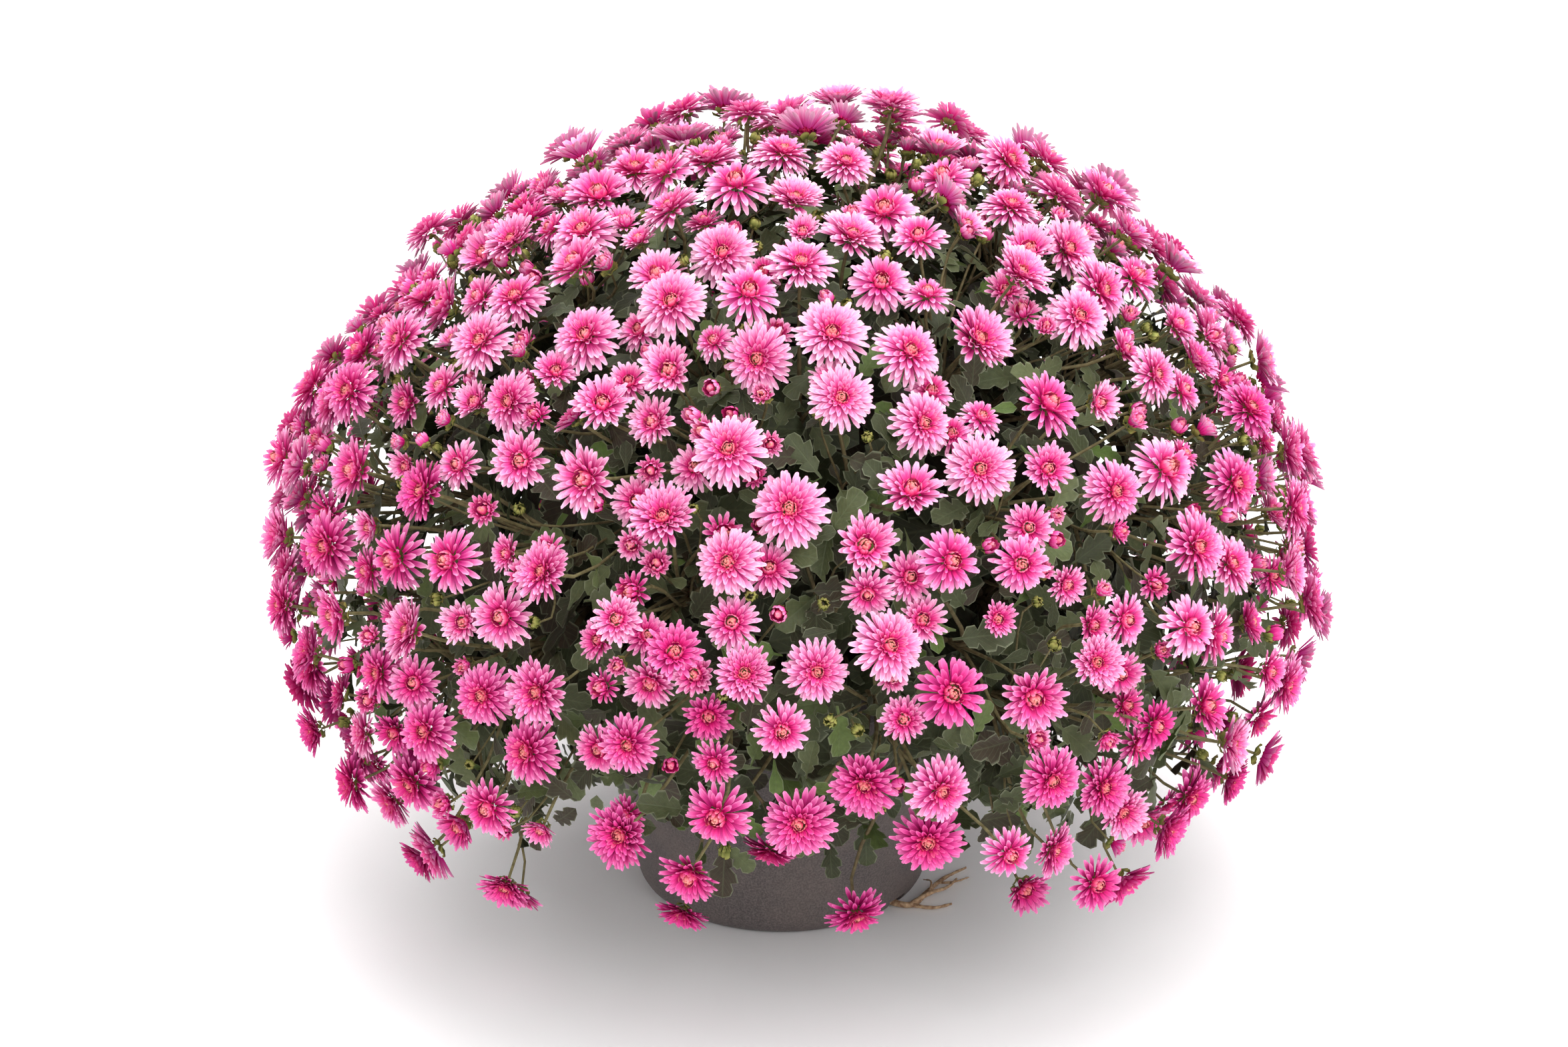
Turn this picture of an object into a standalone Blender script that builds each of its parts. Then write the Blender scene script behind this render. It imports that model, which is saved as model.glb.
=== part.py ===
"""Pot chrysanthemum: a ball of double pink blooms on leafy stems, in a plastic nursery pot."""
import math
import random

import bmesh
import bpy
import numpy as np
from mathutils import Vector
from mathutils.bvhtree import BVHTree
from mathutils.kdtree import KDTree

# Head of the plant: the rounded surface that the blooms stand on, in metres
HEAD_CENTRE = np.array((0.009, 0.0, 0.2165))
HEAD_RADIUS = 0.313
HEAD_RISE = 0.262
HEAD_DROP = 0.200
RAGGED = 0.011
LOWER_EDGE = 0.084
FRONT_LIFT = 0.070
FRONT_SHARPNESS = 4
ROOTS_AZIMUTH = math.radians(-73)
ROOTS_LIFT = 0.022
ROOTS_SHARPNESS = 60

# Open blooms
SEED = 17
SPIRAL_STEPS = 412
LOWEST_WAY = -0.72
WAY_JITTER = 0.035
BLOOM_SMALL = 0.0140
BLOOM_LARGE = 0.0200
SIZE_SKEW = 0.6
BLOOM_SPACING = 1.12
BLOOM_CLEAR = 1.02
RELAX_ROUNDS = 60
RELAX_SHARE = 0.5
FACING_JITTER = 0.16
BLOOM_PETALS = 5
NOTCH_SHARE = 0.76
NOTCH_LIFT = 0.16
CROWN_SHARE = 0.34
NECK_SHARE = 0.42
STAR_MARGIN = 1.05
STAR_UNDER = 0.34
NECK_RADIUS = 0.0024
STALK_RADIUS = 0.0016

# Blooms that stand out of the head or hang under it:
# azimuth in degrees, distance from the pot's axis, height, bloom radius
STRAY_BLOOMS = (
    (17, 0.067, 0.498, 0.0180),
    (183, 0.298, 0.262, 0.0160),
    (-3, 0.318, 0.200, 0.0190),
    (-5, 0.272, 0.112, 0.0150),
    (-32, 0.248, 0.104, 0.0185),
    (-49, 0.214, 0.074, 0.0185),
    (-77, 0.190, 0.070, 0.0180),
    (-92, 0.176, 0.106, 0.0165),
    (-108, 0.184, 0.066, 0.0165),
    (-139, 0.205, 0.056, 0.0160),
    (-155, 0.238, 0.062, 0.0160),
    (152, 0.232, 0.066, 0.0165),
    (96, 0.212, 0.060, 0.0165),
    (48, 0.228, 0.066, 0.0160),
)

# Leafy stems: one up the middle, a ring half way out, and a ring that leans over the rim
MIDDLE_STEMS = 5
MIDDLE_TILT = math.radians(44)
MIDDLE_TURN = math.radians(17)
OUTER_STEMS = 7
OUTER_TILT = math.radians(86)
OUTER_TURN = math.radians(12)
MIDDLE_STEM_RING = 0.034
OUTER_STEM_RING = 0.072
STEM_RADIUS = 0.0045
STEM_SIDES = 4
STEM_DEPTH = 0.018
STEM_CLEARANCE = 0.0005
STEM_BEND_OUT = 0.014
STEM_BEND_UP = 0.036

# Leaf mass of a stem, as shares of the way out to the blooms
MASS_HIGH = 0.90
MASS_LOW = 0.72
MASS_SHOULDER = 0.66
MASS_THROAT = 0.50
MASS_RINGS = ((7, 0.80, (MASS_THROAT,)), (10, 1.00, (MASS_SHOULDER,)),
              (10, 0.94, (MASS_HIGH, MASS_LOW)), (6, 0.48, (MASS_LOW, MASS_HIGH)))
WIDEST_LEAN = 80
MASS_GAP = 0.0040
MASS_ABOVE_EDGE = 0.026
RIM_MARGIN = 0.015
THROAT_REACH = 0.162

# Leaves and buds
LEAF_SPOTS = 112
LEAF_LENGTH = 0.056
LEAF_THICKNESS = 0.0016
LEAF_ROOT = 0.009
LEAF_GAP = 0.0035
LEAF_CEILING = 0.925
LEAF_CURL = 0.16
LEAF_OUTWARD = 0.78
LEAF_ASIDE = 0.62
LEAF_TURNS = 8
LEAF_SIZES = (1.0, 0.80, 0.62)
BUD_SPOTS = 540
BUD_COUNT = 16
BUD_SHARE = 0.95
BUD_RADIUS = 0.0046
BUD_STALK = 0.0014
BUD_ROOM = 0.011
LEAFY_TO = 0.80

# Where a stalk or a leaf is sunk into the leaf mass
FOOT_DEPTH = 0.012
FOOT_TIP = 0.002
FOOT_PULLS = (0.16, 0.30, 0.45, 0.60, 0.75)
DEEPEST_FOOT = 0.145
LEAST_COVER = 0.0015
LEAST_FACING = 0.30

# Pot and soil
POT_SIDES = 20
POT_HEIGHT = 0.172
FOOT_RADIUS = 0.081
HEEL_RADIUS = 0.092
HEEL_HEIGHT = 0.015
SHOULDER_RADIUS = 0.114
COLLAR_HEIGHT = 0.020
COLLAR_RADIUS = 0.1185
COLLAR_DRAFT = 0.0006
COLLAR_STEP = 0.0015
LIP_DROP = 0.0004
WALL = 0.0022
FLOOR = 0.0030
INNER_HEEL_RISE = 0.001
NOTCHES = 4
NOTCH_TURN = math.radians(-37)
NOTCH_LENGTH = 0.026
NOTCH_WIDTH = 0.016
NOTCH_HEIGHT = 0.0085
NOTCH_OUTSIDE = 0.004
NOTCH_BELOW = 0.0005
SOIL_TOP = 0.158
SOIL_GAP = 0.0003
SOIL_TOP_GAP = 0.00033
SOIL_HEEL_GAP = 0.00039
SOIL_HEEL_RISE = 0.0012
HOLE_ABOVE = 0.010
ROOT_HOLE_GAP = 0.0007
ROOT_HOLE_PAST = 0.0012
ROOT_HOLE_SIDES = 6

# Roots that have grown out of the drainage notches: points in metres, radius at each
MAIN_ROOT = ((0.0586, -0.0442, 0.0040, 0.0022), (0.0692, -0.0522, 0.0034, 0.0022),
             (0.0800, -0.0540, 0.0027, 0.0021), (0.0900, -0.0400, 0.0024, 0.0018),
             (0.1020, -0.0180, 0.0021, 0.0013), (0.1170, -0.0020, 0.0018, 0.0008))
SIDE_ROOT = ((0.0800, -0.0535, 0.0031, 0.0016), (0.0930, -0.0440, 0.0060, 0.0014),
             (0.1040, -0.0340, 0.0044, 0.0011), (0.1110, -0.0180, 0.0016, 0.0008))
SHORT_ROOT = ((0.0805, -0.0535, 0.0027, 0.0015), (0.0950, -0.0555, 0.0022, 0.0012),
              (0.1060, -0.0500, 0.0018, 0.0008))


def clear_scene():
    for item in list(bpy.data.objects):
        bpy.data.objects.remove(item)


def collection_named(name):
    group = bpy.data.collections.new(name)
    bpy.context.scene.collection.children.link(group)
    return group


def make_material(name, colour, roughness, metallic=0.0):
    material = bpy.data.materials.new(name)
    material.use_nodes = True
    shader = material.node_tree.nodes["Principled BSDF"]
    shader.inputs["Base Color"].default_value = (*colour, 1.0)
    shader.inputs["Roughness"].default_value = roughness
    shader.inputs["Metallic"].default_value = metallic
    return material


def unit(vector):
    return vector / np.linalg.norm(vector)


# Shape of the head

def head_reach(way):
    """Distance from the middle of the head to the bloom surface, along each unit way"""
    rise = np.where(way[..., 2] > 0, HEAD_RISE, HEAD_DROP)
    flat = np.hypot(way[..., 0], way[..., 1])
    return 1 / np.sqrt((flat / HEAD_RADIUS) ** 2 + (way[..., 2] / rise) ** 2)


def head_point(way, share=1.0):
    return HEAD_CENTRE + way * (head_reach(way) * share)[..., None]


def head_share(point):
    """How far out a point is, as a share of the way to the bloom surface"""
    out = point - HEAD_CENTRE
    return np.linalg.norm(out) / head_reach(unit(out))


def head_normal(point):
    """Outward normal of the head at the height and azimuth of a point"""
    out = point - HEAD_CENTRE
    rise = HEAD_RISE if out[2] > 0 else HEAD_DROP
    return unit(out / np.array((HEAD_RADIUS ** 2, HEAD_RADIUS ** 2, rise ** 2)))


def lower_edge(point):
    """Height of the lowest blooms, which is lifted in front, where the pot shows"""
    azimuth = np.arctan2(point[..., 1], point[..., 0])
    return LOWER_EDGE + FRONT_LIFT * np.maximum(0, -np.sin(azimuth)) ** FRONT_SHARPNESS


def bloom_floor(point):
    """Lowest place for a bloom: the edge, and higher still in front of the roots"""
    azimuth = np.arctan2(point[..., 1], point[..., 0])
    window = np.maximum(0, np.cos(azimuth - ROOTS_AZIMUTH)) ** ROOTS_SHARPNESS
    return lower_edge(point) + ROOTS_LIFT * window


def spiral_ways(steps, lowest):
    """Ways out of the middle of the head, evenly spread from the top down"""
    turn = math.pi * (3 - math.sqrt(5))
    ways = []
    for step in range(steps):
        height = 1 - (1 - lowest) * (step + 0.5) / steps
        flat = math.sqrt(1 - height * height)
        ways.append((flat * math.cos(step * turn), flat * math.sin(step * turn), height))
    return np.array(ways)


def spread_apart(ways, radii, fixed):
    """Moves the ways until blooms of these radii stand clear of each other and of the fixed ones"""
    want = (radii[:len(ways), None] + radii[None, :]) * BLOOM_SPACING
    np.fill_diagonal(want, 0)
    for _ in range(RELAX_ROUNDS):
        points = head_point(ways)
        apart = points[:, None] - np.vstack((points, fixed))[None, :]
        distance = np.linalg.norm(apart, axis=2) + np.eye(len(points), len(radii))
        push = np.clip(want - distance, 0, None) / distance
        points = points + (apart * push[:, :, None]).sum(axis=1) * RELAX_SHARE
        points[:, 2] = np.maximum(points[:, 2], bloom_floor(points))
        ways = points - HEAD_CENTRE
        ways /= np.linalg.norm(ways, axis=1)[:, None]
    return ways


def around_axis(azimuth, distance, height):
    angle = math.radians(azimuth)
    return np.array((distance * math.cos(angle), distance * math.sin(angle), height))


def place_blooms():
    """Open blooms as (place, facing, radius), the strays last"""
    rng = random.Random(SEED)
    ways = spiral_ways(SPIRAL_STEPS, LOWEST_WAY)
    ways += np.array([[rng.gauss(0, WAY_JITTER) for _ in range(3)] for _ in ways])
    ways /= np.linalg.norm(ways, axis=1)[:, None]
    points = head_point(ways)
    ways = ways[points[:, 2] > lower_edge(points)]
    radii = [BLOOM_SMALL + (BLOOM_LARGE - BLOOM_SMALL) * rng.random() ** SIZE_SKEW for _ in ways]
    radii += [stray[3] for stray in STRAY_BLOOMS]
    strays = [around_axis(azimuth, distance, height)
              for azimuth, distance, height, _ in STRAY_BLOOMS]
    ways = spread_apart(ways, np.array(radii), np.array(strays))
    places = [point + head_normal(point) * rng.uniform(-RAGGED, RAGGED)
              for point in head_point(ways)] + strays
    radii = fit_radii(np.array(places), np.array(radii))
    blooms = []
    for place, radius in zip(places, radii):
        sway = np.array([rng.gauss(0, FACING_JITTER) for _ in range(3)])
        blooms.append((place, unit(head_normal(place) + sway), radius))
    return blooms


def fit_radii(places, radii):
    """Shrinks blooms that stand too near a neighbour, so that no two touch"""
    distance = np.linalg.norm(places[:, None] - places[None, :], axis=2)
    np.fill_diagonal(distance, 1.0)
    share = distance / ((radii[:, None] + radii[None, :]) * BLOOM_CLEAR)
    return radii * np.minimum(1.0, share.min(axis=1))


# Stems and the cone of the head that each one fills

def stem_ways():
    ways = [np.array((0.0, 0.0, 1.0))]
    for count, tilt, turn in ((MIDDLE_STEMS, MIDDLE_TILT, MIDDLE_TURN),
                              (OUTER_STEMS, OUTER_TILT, OUTER_TURN)):
        for step in range(count):
            angle = turn + math.tau * step / count
            ways.append(np.array((math.sin(tilt) * math.cos(angle),
                                  math.sin(tilt) * math.sin(angle), math.cos(tilt))))
    return ways


def nearest_stem(point, ways):
    out = point - HEAD_CENTRE
    return int(np.argmax([out @ way for way in ways]))


def room(point, stem, ways):
    """Distance from a point to the nearest wall of its stem's cone, negative outside"""
    out = point - HEAD_CENTRE
    walls = [ways[stem] - way for step, way in enumerate(ways) if step != stem]
    return min(out @ wall / np.linalg.norm(wall) for wall in walls)


def side_frame(way):
    across = np.cross(way, (0.0, 0.0, 1.0))
    if np.linalg.norm(across) < 1e-6:
        across = np.array((1.0, 0.0, 0.0))
    across = unit(across)
    return across, np.cross(way, across)


def edge_angle(stem, ways, side):
    """How far the leaf mass can lean from its stem's way towards one side"""
    best = 0.0
    for degrees in range(1, WIDEST_LEAN):
        angle = math.radians(degrees)
        way = ways[stem] * math.cos(angle) + side * math.sin(angle)
        point = head_point(way, MASS_HIGH)
        low = point[2] < lower_edge(point) + MASS_ABOVE_EDGE
        if low or room(point, stem, ways) < MASS_GAP:
            break
        best = angle
    return best


def mass_ring(stem, ways, count, lean, shares):
    """Ring of the leaf mass round its stem, at a share of the lean to its edge"""
    across, along = side_frame(ways[stem])
    ring = []
    for step in range(count):
        turn = math.tau * step / count
        side = across * math.cos(turn) + along * math.sin(turn)
        angle = edge_angle(stem, ways, side) * lean
        way = ways[stem] * math.cos(angle) + side * math.sin(angle)
        point = head_point(way, shares[step % len(shares)])
        if math.hypot(point[0], point[1]) < THROAT_REACH:
            point[2] = max(point[2], POT_HEIGHT + RIM_MARGIN)
        ring.append(point)
    return ring


def stem_foot(stem):
    """Where a stem stands in the soil, on the pot's axis or on one of two rings"""
    if stem == 0:
        return np.array((0.0, 0.0, SOIL_TOP))
    if stem <= MIDDLE_STEMS:
        angle, ring = MIDDLE_TURN + math.tau * (stem - 1) / MIDDLE_STEMS, MIDDLE_STEM_RING
    else:
        step = stem - 1 - MIDDLE_STEMS
        angle, ring = OUTER_TURN + math.tau * step / OUTER_STEMS, OUTER_STEM_RING
    return np.array((ring * math.cos(angle), ring * math.sin(angle), SOIL_TOP))


# Closed bodies lofted between unlike sections

def stitch(bm, upper, lower):
    """Faces between two rings, which may have unlike numbers of points"""
    above, below = len(upper), len(lower)
    if above == below == 3:
        for step in range(3):
            after = (step + 1) % 3
            bm.faces.new((upper[step], lower[step], lower[after], upper[after]))
        return
    upper_left = above if above > 1 else 0
    lower_left = below if below > 1 else 0
    while upper_left or lower_left:
        i, j = above - upper_left, below - lower_left
        upper_next = upper_left and (i + 0.5) / above <= (j + 0.5) / below
        if upper_left and (upper_next or not lower_left):
            bm.faces.new((upper[i % above], lower[j % below], upper[(i + 1) % above]))
            upper_left -= 1
        else:
            bm.faces.new((upper[i % above], lower[j % below], lower[(j + 1) % below]))
            lower_left -= 1


def loft(name, rings, group):
    """Closed body through rings of points; a ring of one point closes its end"""
    bm = bmesh.new()
    rows = [[bm.verts.new(point) for point in ring] for ring in rings]
    for upper, lower in zip(rows, rows[1:]):
        stitch(bm, upper, lower)
    bmesh.ops.recalc_face_normals(bm, faces=bm.faces)
    mesh = bpy.data.meshes.new(name)
    bm.to_mesh(mesh)
    bm.free()
    body = bpy.data.objects.new(name, mesh)
    group.objects.link(body)
    return body


def round_ring(place, way, radius, count):
    across, along = side_frame(way)
    turns = [math.tau * step / count for step in range(count)]
    return [place + (across * math.cos(turn) + along * math.sin(turn)) * radius for turn in turns]


def stem_body(stem, ways, group):
    """Woody stem from its hole in the soil up into the leaf mass that fills its cone"""
    foot = stem_foot(stem)
    up = np.array((0.0, 0.0, 1.0))
    out = np.array((ways[stem][0], ways[stem][1], 0.0))
    bottom = foot - up * STEM_DEPTH
    bend = foot + out * STEM_BEND_OUT + up * STEM_BEND_UP
    rings = [
        [bottom],
        round_ring(bottom, up, STEM_RADIUS, STEM_SIDES),
        round_ring(foot + up * STEM_RADIUS, up, STEM_RADIUS, STEM_SIDES),
        round_ring(bend, unit(ways[stem] + up / 2), STEM_RADIUS, STEM_SIDES),
    ]
    rings += [mass_ring(stem, ways, *ring) for ring in MASS_RINGS]
    rings.append([head_point(ways[stem], MASS_LOW)])
    return loft(f"flowering_stem_{stem + 1:02d}", rings, group)


def surface_point(tree, way, depth):
    """Point well inside a leaf mass where a way leaves it squarely, or None"""
    start = Vector(head_point(way) * 2 - HEAD_CENTRE)
    hit, normal, _, _ = tree.ray_cast(start, Vector(-way))
    if hit is None or normal.dot(Vector(way)) < LEAST_FACING:
        return None
    point = np.array(hit) - way * depth
    skin, normal, _, gap = tree.find_nearest(Vector(point))
    inside = normal.dot(Vector(point) - skin) < 0 and gap > LEAST_COVER
    if not inside or np.linalg.norm(point - HEAD_CENTRE) < DEEPEST_FOOT:
        return None
    return point


def foot_under(place, stem, ways, tree):
    """Where a stalk from this place ends in the leaf mass"""
    out = unit(place - HEAD_CENTRE)
    for pull in FOOT_PULLS:
        way = unit(out * (1 - pull) + ways[stem] * pull)
        foot = surface_point(tree, way, FOOT_DEPTH)
        if foot is not None:
            return foot
    return head_point(ways[stem], MASS_SHOULDER)


def bloom_body(bloom, foot, rng, group):
    """Bloom as a domed star of petals on a three-sided stalk"""
    place, facing, radius = bloom
    across, along = side_frame(facing)
    spin = rng.uniform(0, math.tau)

    def aside(turn):
        return across * math.cos(turn) + along * math.sin(turn)

    star = []
    for step in range(2 * BLOOM_PETALS):
        reach, lift = (NOTCH_SHARE, NOTCH_LIFT) if step % 2 else (1.0, 0.0)
        turn = spin + math.pi * step / BLOOM_PETALS
        star.append(place + (aside(turn) * reach + facing * lift) * radius)
    neck = place - facing * radius * NECK_SHARE
    corners = [aside(spin + math.tau * step / 3) for step in range(3)]
    rings = [
        [place + facing * radius * CROWN_SHARE],
        star,
        [neck + corner * NECK_RADIUS for corner in corners],
        [foot + corner * STALK_RADIUS for corner in corners],
        [foot - unit(neck - foot) * FOOT_TIP],
    ]
    return loft("bloom", rings, group)


def bud_body(place, facing, foot, rng, group):
    spin = rng.uniform(0, math.tau)
    across, along = side_frame(facing)

    def ring(level, radius, count):
        turns = [spin + math.tau * step / count for step in range(count)]
        return [place + facing * level + (across * math.cos(turn) + along * math.sin(turn)) * radius
                for turn in turns]

    neck = ring(-BUD_RADIUS, BUD_STALK, 3)
    rings = [
        [place + facing * BUD_RADIUS],
        ring(0, BUD_RADIUS, 4),
        neck,
        [point + foot - place + facing * BUD_RADIUS for point in neck],
        [foot - facing * FOOT_TIP],
    ]
    return loft("bud", rings, group)


# Half outline of a lobed leaf: share of its length, share of its length across
LEAF_OUTLINE = ((0.44, 0.25), (0.58, 0.13), (0.80, 0.24))


def leaf_points(root, heading, flat, length):
    """Outline of a lobed leaf, with the middle of its upper and lower face"""
    across = np.cross(heading, flat)
    curl = -flat * length * LEAF_CURL

    def point(along, aside):
        return root + heading * length * along + across * length * aside + curl * along * along

    left = [point(along, aside) for along, aside in LEAF_OUTLINE]
    right = [point(along, -aside) for along, aside in reversed(LEAF_OUTLINE)]
    outline = [point(0, 0)] + left + [point(1, 0)] + right
    middle = point(LEAF_OUTLINE[1][0], 0)
    return outline, middle + flat * LEAF_THICKNESS / 2, middle - flat * LEAF_THICKNESS / 2


def leaf_body(root, stem, ways, way, rng, group):
    """Leaf that stands out of its leaf mass, turned until it stays in its stem's cone"""
    across, along = side_frame(way)
    start = rng.uniform(0, math.tau)
    for size in LEAF_SIZES:
        for step in range(LEAF_TURNS):
            turn = start + math.tau * step / LEAF_TURNS
            aside = across * math.cos(turn) + along * math.sin(turn)
            heading = unit(way * LEAF_OUTWARD + aside * LEAF_ASIDE)
            flat = unit(way - heading * (way @ heading))
            outline, top, under = leaf_points(root, heading, flat, LEAF_LENGTH * size)
            inside = all(room(point, stem, ways) > LEAF_GAP for point in outline)
            low = all(head_share(point) < LEAF_CEILING for point in outline)
            if inside and low:
                return loft("leaf", [[top], outline, [under]], group)
    return None


def bud_ways(blooms):
    """Ways where a bud finds room between the blooms"""
    places = np.array([bloom[0] for bloom in blooms])
    radii = np.array([bloom[2] for bloom in blooms])
    free = []
    for way in spiral_ways(BUD_SPOTS, LOWEST_WAY * LEAFY_TO):
        point = head_point(way, BUD_SHARE)
        gap = np.linalg.norm(places - point, axis=1) - radii
        if gap.min() > BUD_ROOM and point[2] > lower_edge(point):
            free.append(way)
    return free[::max(1, len(free) // BUD_COUNT)]


def drop_scraps(body):
    """Keeps the largest connected body of a mesh"""
    shape = bmesh.new()
    shape.from_mesh(body.data)
    left = set(shape.verts)
    islands = []
    while left:
        island, edge = set(), [left.pop()]
        while edge:
            vert = edge.pop()
            island.add(vert)
            near = [link.other_vert(vert) for link in vert.link_edges]
            edge.extend(other for other in near if other in left)
            left.difference_update(near)
        islands.append(island)
    islands.sort(key=len)
    for island in islands[:-1]:
        bmesh.ops.delete(shape, geom=list(island), context="VERTS")
    shape.to_mesh(body.data)
    shape.free()


def join_pieces(body, pieces):
    """One union of a body with a collection of pieces, which is then removed"""
    union = body.modifiers.new("union", "BOOLEAN")
    union.operation = "UNION"
    union.operand_type = "COLLECTION"
    union.collection = pieces
    union.solver = "MANIFOLD"
    bpy.context.view_layer.objects.active = body
    bpy.ops.object.modifier_apply(modifier=union.name)
    drop_scraps(body)
    for piece in list(pieces.objects):
        bpy.data.objects.remove(piece)
    bpy.data.collections.remove(pieces)


def colour_blooms(body, blooms, petals, foliage):
    """Petal colour on the faces of the stars, leaf colour on the rest"""
    body.data.materials.clear()
    body.data.materials.append(petals)
    body.data.materials.append(foliage)
    tree = KDTree(len(blooms))
    for step, bloom in enumerate(blooms):
        tree.insert(Vector(bloom[0]), step)
    tree.balance()
    for face in body.data.polygons:
        place, step, distance = tree.find(face.center)
        facing, radius = Vector(blooms[step][1]), blooms[step][2]
        level = (face.center - place).dot(facing)
        on_star = distance < radius * STAR_MARGIN and level > -radius * STAR_UNDER
        face.material_index = 0 if on_star else 1


def build_stems(plant, petals, foliage):
    rng = random.Random(SEED + 1)
    ways = stem_ways()
    blooms = place_blooms()
    owners = [nearest_stem(place, ways) for place, _, _ in blooms]
    buds = bud_ways(blooms)
    leaf_ways = spiral_ways(LEAF_SPOTS, LOWEST_WAY * LEAFY_TO)
    for stem in range(len(ways)):
        body = stem_body(stem, ways, plant)
        shape = bmesh.new()
        shape.from_mesh(body.data)
        tree = BVHTree.FromBMesh(shape)
        shape.free()
        pieces = collection_named("pieces")
        own = [bloom for bloom, owner in zip(blooms, owners) if owner == stem]
        for bloom in own:
            foot = foot_under(bloom[0], stem, ways, tree)
            bloom_body(bloom, foot, rng, pieces)
        for way in buds:
            place = head_point(way, BUD_SHARE)
            if nearest_stem(place, ways) == stem and room(place, stem, ways) > BUD_ROOM:
                bud_body(place, way, foot_under(place, stem, ways, tree), rng, pieces)
        for way in leaf_ways:
            if nearest_stem(head_point(way), ways) == stem:
                root = surface_point(tree, way, LEAF_ROOT)
                if root is not None:
                    leaf_body(root, stem, ways, way, rng, pieces)
        join_pieces(body, pieces)
        colour_blooms(body, own, petals, foliage)


# Turned pot and soil

def turned(name, profile, group, material):
    """Solid turned from a profile that starts and ends on the axis"""
    mesh = bpy.data.meshes.new(name)
    points = [(radius, 0.0, height) for radius, height in profile]
    mesh.from_pydata(points, [(step, step + 1) for step in range(len(points) - 1)], [])
    mesh.materials.append(material)
    body = bpy.data.objects.new(name, mesh)
    group.objects.link(body)
    screw = body.modifiers.new("turn", "SCREW")
    screw.steps = POT_SIDES
    screw.render_steps = POT_SIDES
    screw.use_merge_vertices = True
    screw.merge_threshold = 0.00005
    return body


def cut_with(body, cutters):
    cut = body.modifiers.new("cut", "BOOLEAN")
    cut.operation = "DIFFERENCE"
    cut.solver = "MANIFOLD"
    cut.operand_type = "COLLECTION"
    cut.collection = cutters


def add_cutter(shape, name, group):
    shape.name = name
    for owner in list(shape.users_collection):
        owner.objects.unlink(shape)
    group.objects.link(shape)
    shape.hide_render = True
    shape.display_type = "WIRE"


def wall_radius(height):
    """Outer radius of the pot's wall at a height above its heel"""
    share = (height - HEEL_HEIGHT) / (POT_HEIGHT - COLLAR_HEIGHT - HEEL_HEIGHT)
    return HEEL_RADIUS + (SHOULDER_RADIUS - HEEL_RADIUS) * share


def build_pot(plant, plastic):
    collar_foot = POT_HEIGHT - COLLAR_HEIGHT
    profile = (
        (0.0, FLOOR),
        (FOOT_RADIUS - WALL, FLOOR),
        (HEEL_RADIUS - WALL, HEEL_HEIGHT + INNER_HEEL_RISE),
        (COLLAR_RADIUS - WALL, POT_HEIGHT),
        (COLLAR_RADIUS, POT_HEIGHT - LIP_DROP),
        (COLLAR_RADIUS - COLLAR_DRAFT, collar_foot),
        (SHOULDER_RADIUS, collar_foot - COLLAR_STEP),
        (HEEL_RADIUS, HEEL_HEIGHT),
        (FOOT_RADIUS, 0.0),
        (0.0, 0.0),
    )
    pot = turned("pot", profile, plant, plastic)
    notches = collection_named("pot notches")
    middle = FOOT_RADIUS + NOTCH_OUTSIDE
    for step in range(NOTCHES):
        turn = NOTCH_TURN + math.tau * step / NOTCHES
        bpy.ops.mesh.primitive_cube_add(size=1.0, rotation=(0.0, 0.0, turn), location=(
            middle * math.cos(turn), middle * math.sin(turn), NOTCH_HEIGHT / 2 - NOTCH_BELOW))
        notch = bpy.context.object
        notch.scale = (NOTCH_LENGTH, NOTCH_WIDTH, NOTCH_HEIGHT + 2 * NOTCH_BELOW)
        add_cutter(notch, f"notch_{step + 1}", notches)
    cut_with(pot, notches)


def soil_plug():
    """Soil as a cone inside the wall, with its underside drawn in to the pot's floor"""
    slope = (COLLAR_RADIUS - HEEL_RADIUS) / (POT_HEIGHT - HEEL_HEIGHT - INNER_HEEL_RISE)
    top_radius = COLLAR_RADIUS - WALL - SOIL_TOP_GAP - slope * (POT_HEIGHT - SOIL_TOP)
    heel_radius = HEEL_RADIUS - WALL - SOIL_HEEL_GAP
    heel = HEEL_HEIGHT + SOIL_HEEL_RISE
    shape = bmesh.new()
    bmesh.ops.create_cone(shape, cap_ends=True, segments=POT_SIDES, depth=SOIL_TOP - heel,
                          radius1=heel_radius, radius2=top_radius)
    bmesh.ops.translate(shape, verts=shape.verts, vec=(0.0, 0.0, (SOIL_TOP + heel) / 2))
    under = min(shape.faces, key=lambda face: face.calc_center_median().z)
    low = bmesh.ops.extrude_face_region(shape, geom=[under])["geom"]
    bmesh.ops.delete(shape, geom=[under], context="FACES_ONLY")
    foot = (FOOT_RADIUS - WALL - SOIL_GAP) / heel_radius
    for vert in low:
        if isinstance(vert, bmesh.types.BMVert):
            vert.co = (vert.co.x * foot, vert.co.y * foot, FLOOR + SOIL_GAP)
    bmesh.ops.recalc_face_normals(shape, faces=shape.faces)
    mesh = bpy.data.meshes.new("soil")
    shape.to_mesh(mesh)
    shape.free()
    return mesh


def straight_hole(name, start, end, radius, sides, group):
    """Cutter between two points, with closed ends"""
    way = unit(start - end)
    hole = loft(name, [[start], round_ring(start, way, radius, sides),
                       round_ring(end, way, radius, sides), [end]], group)
    hole.hide_render = True
    hole.display_type = "WIRE"


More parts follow.
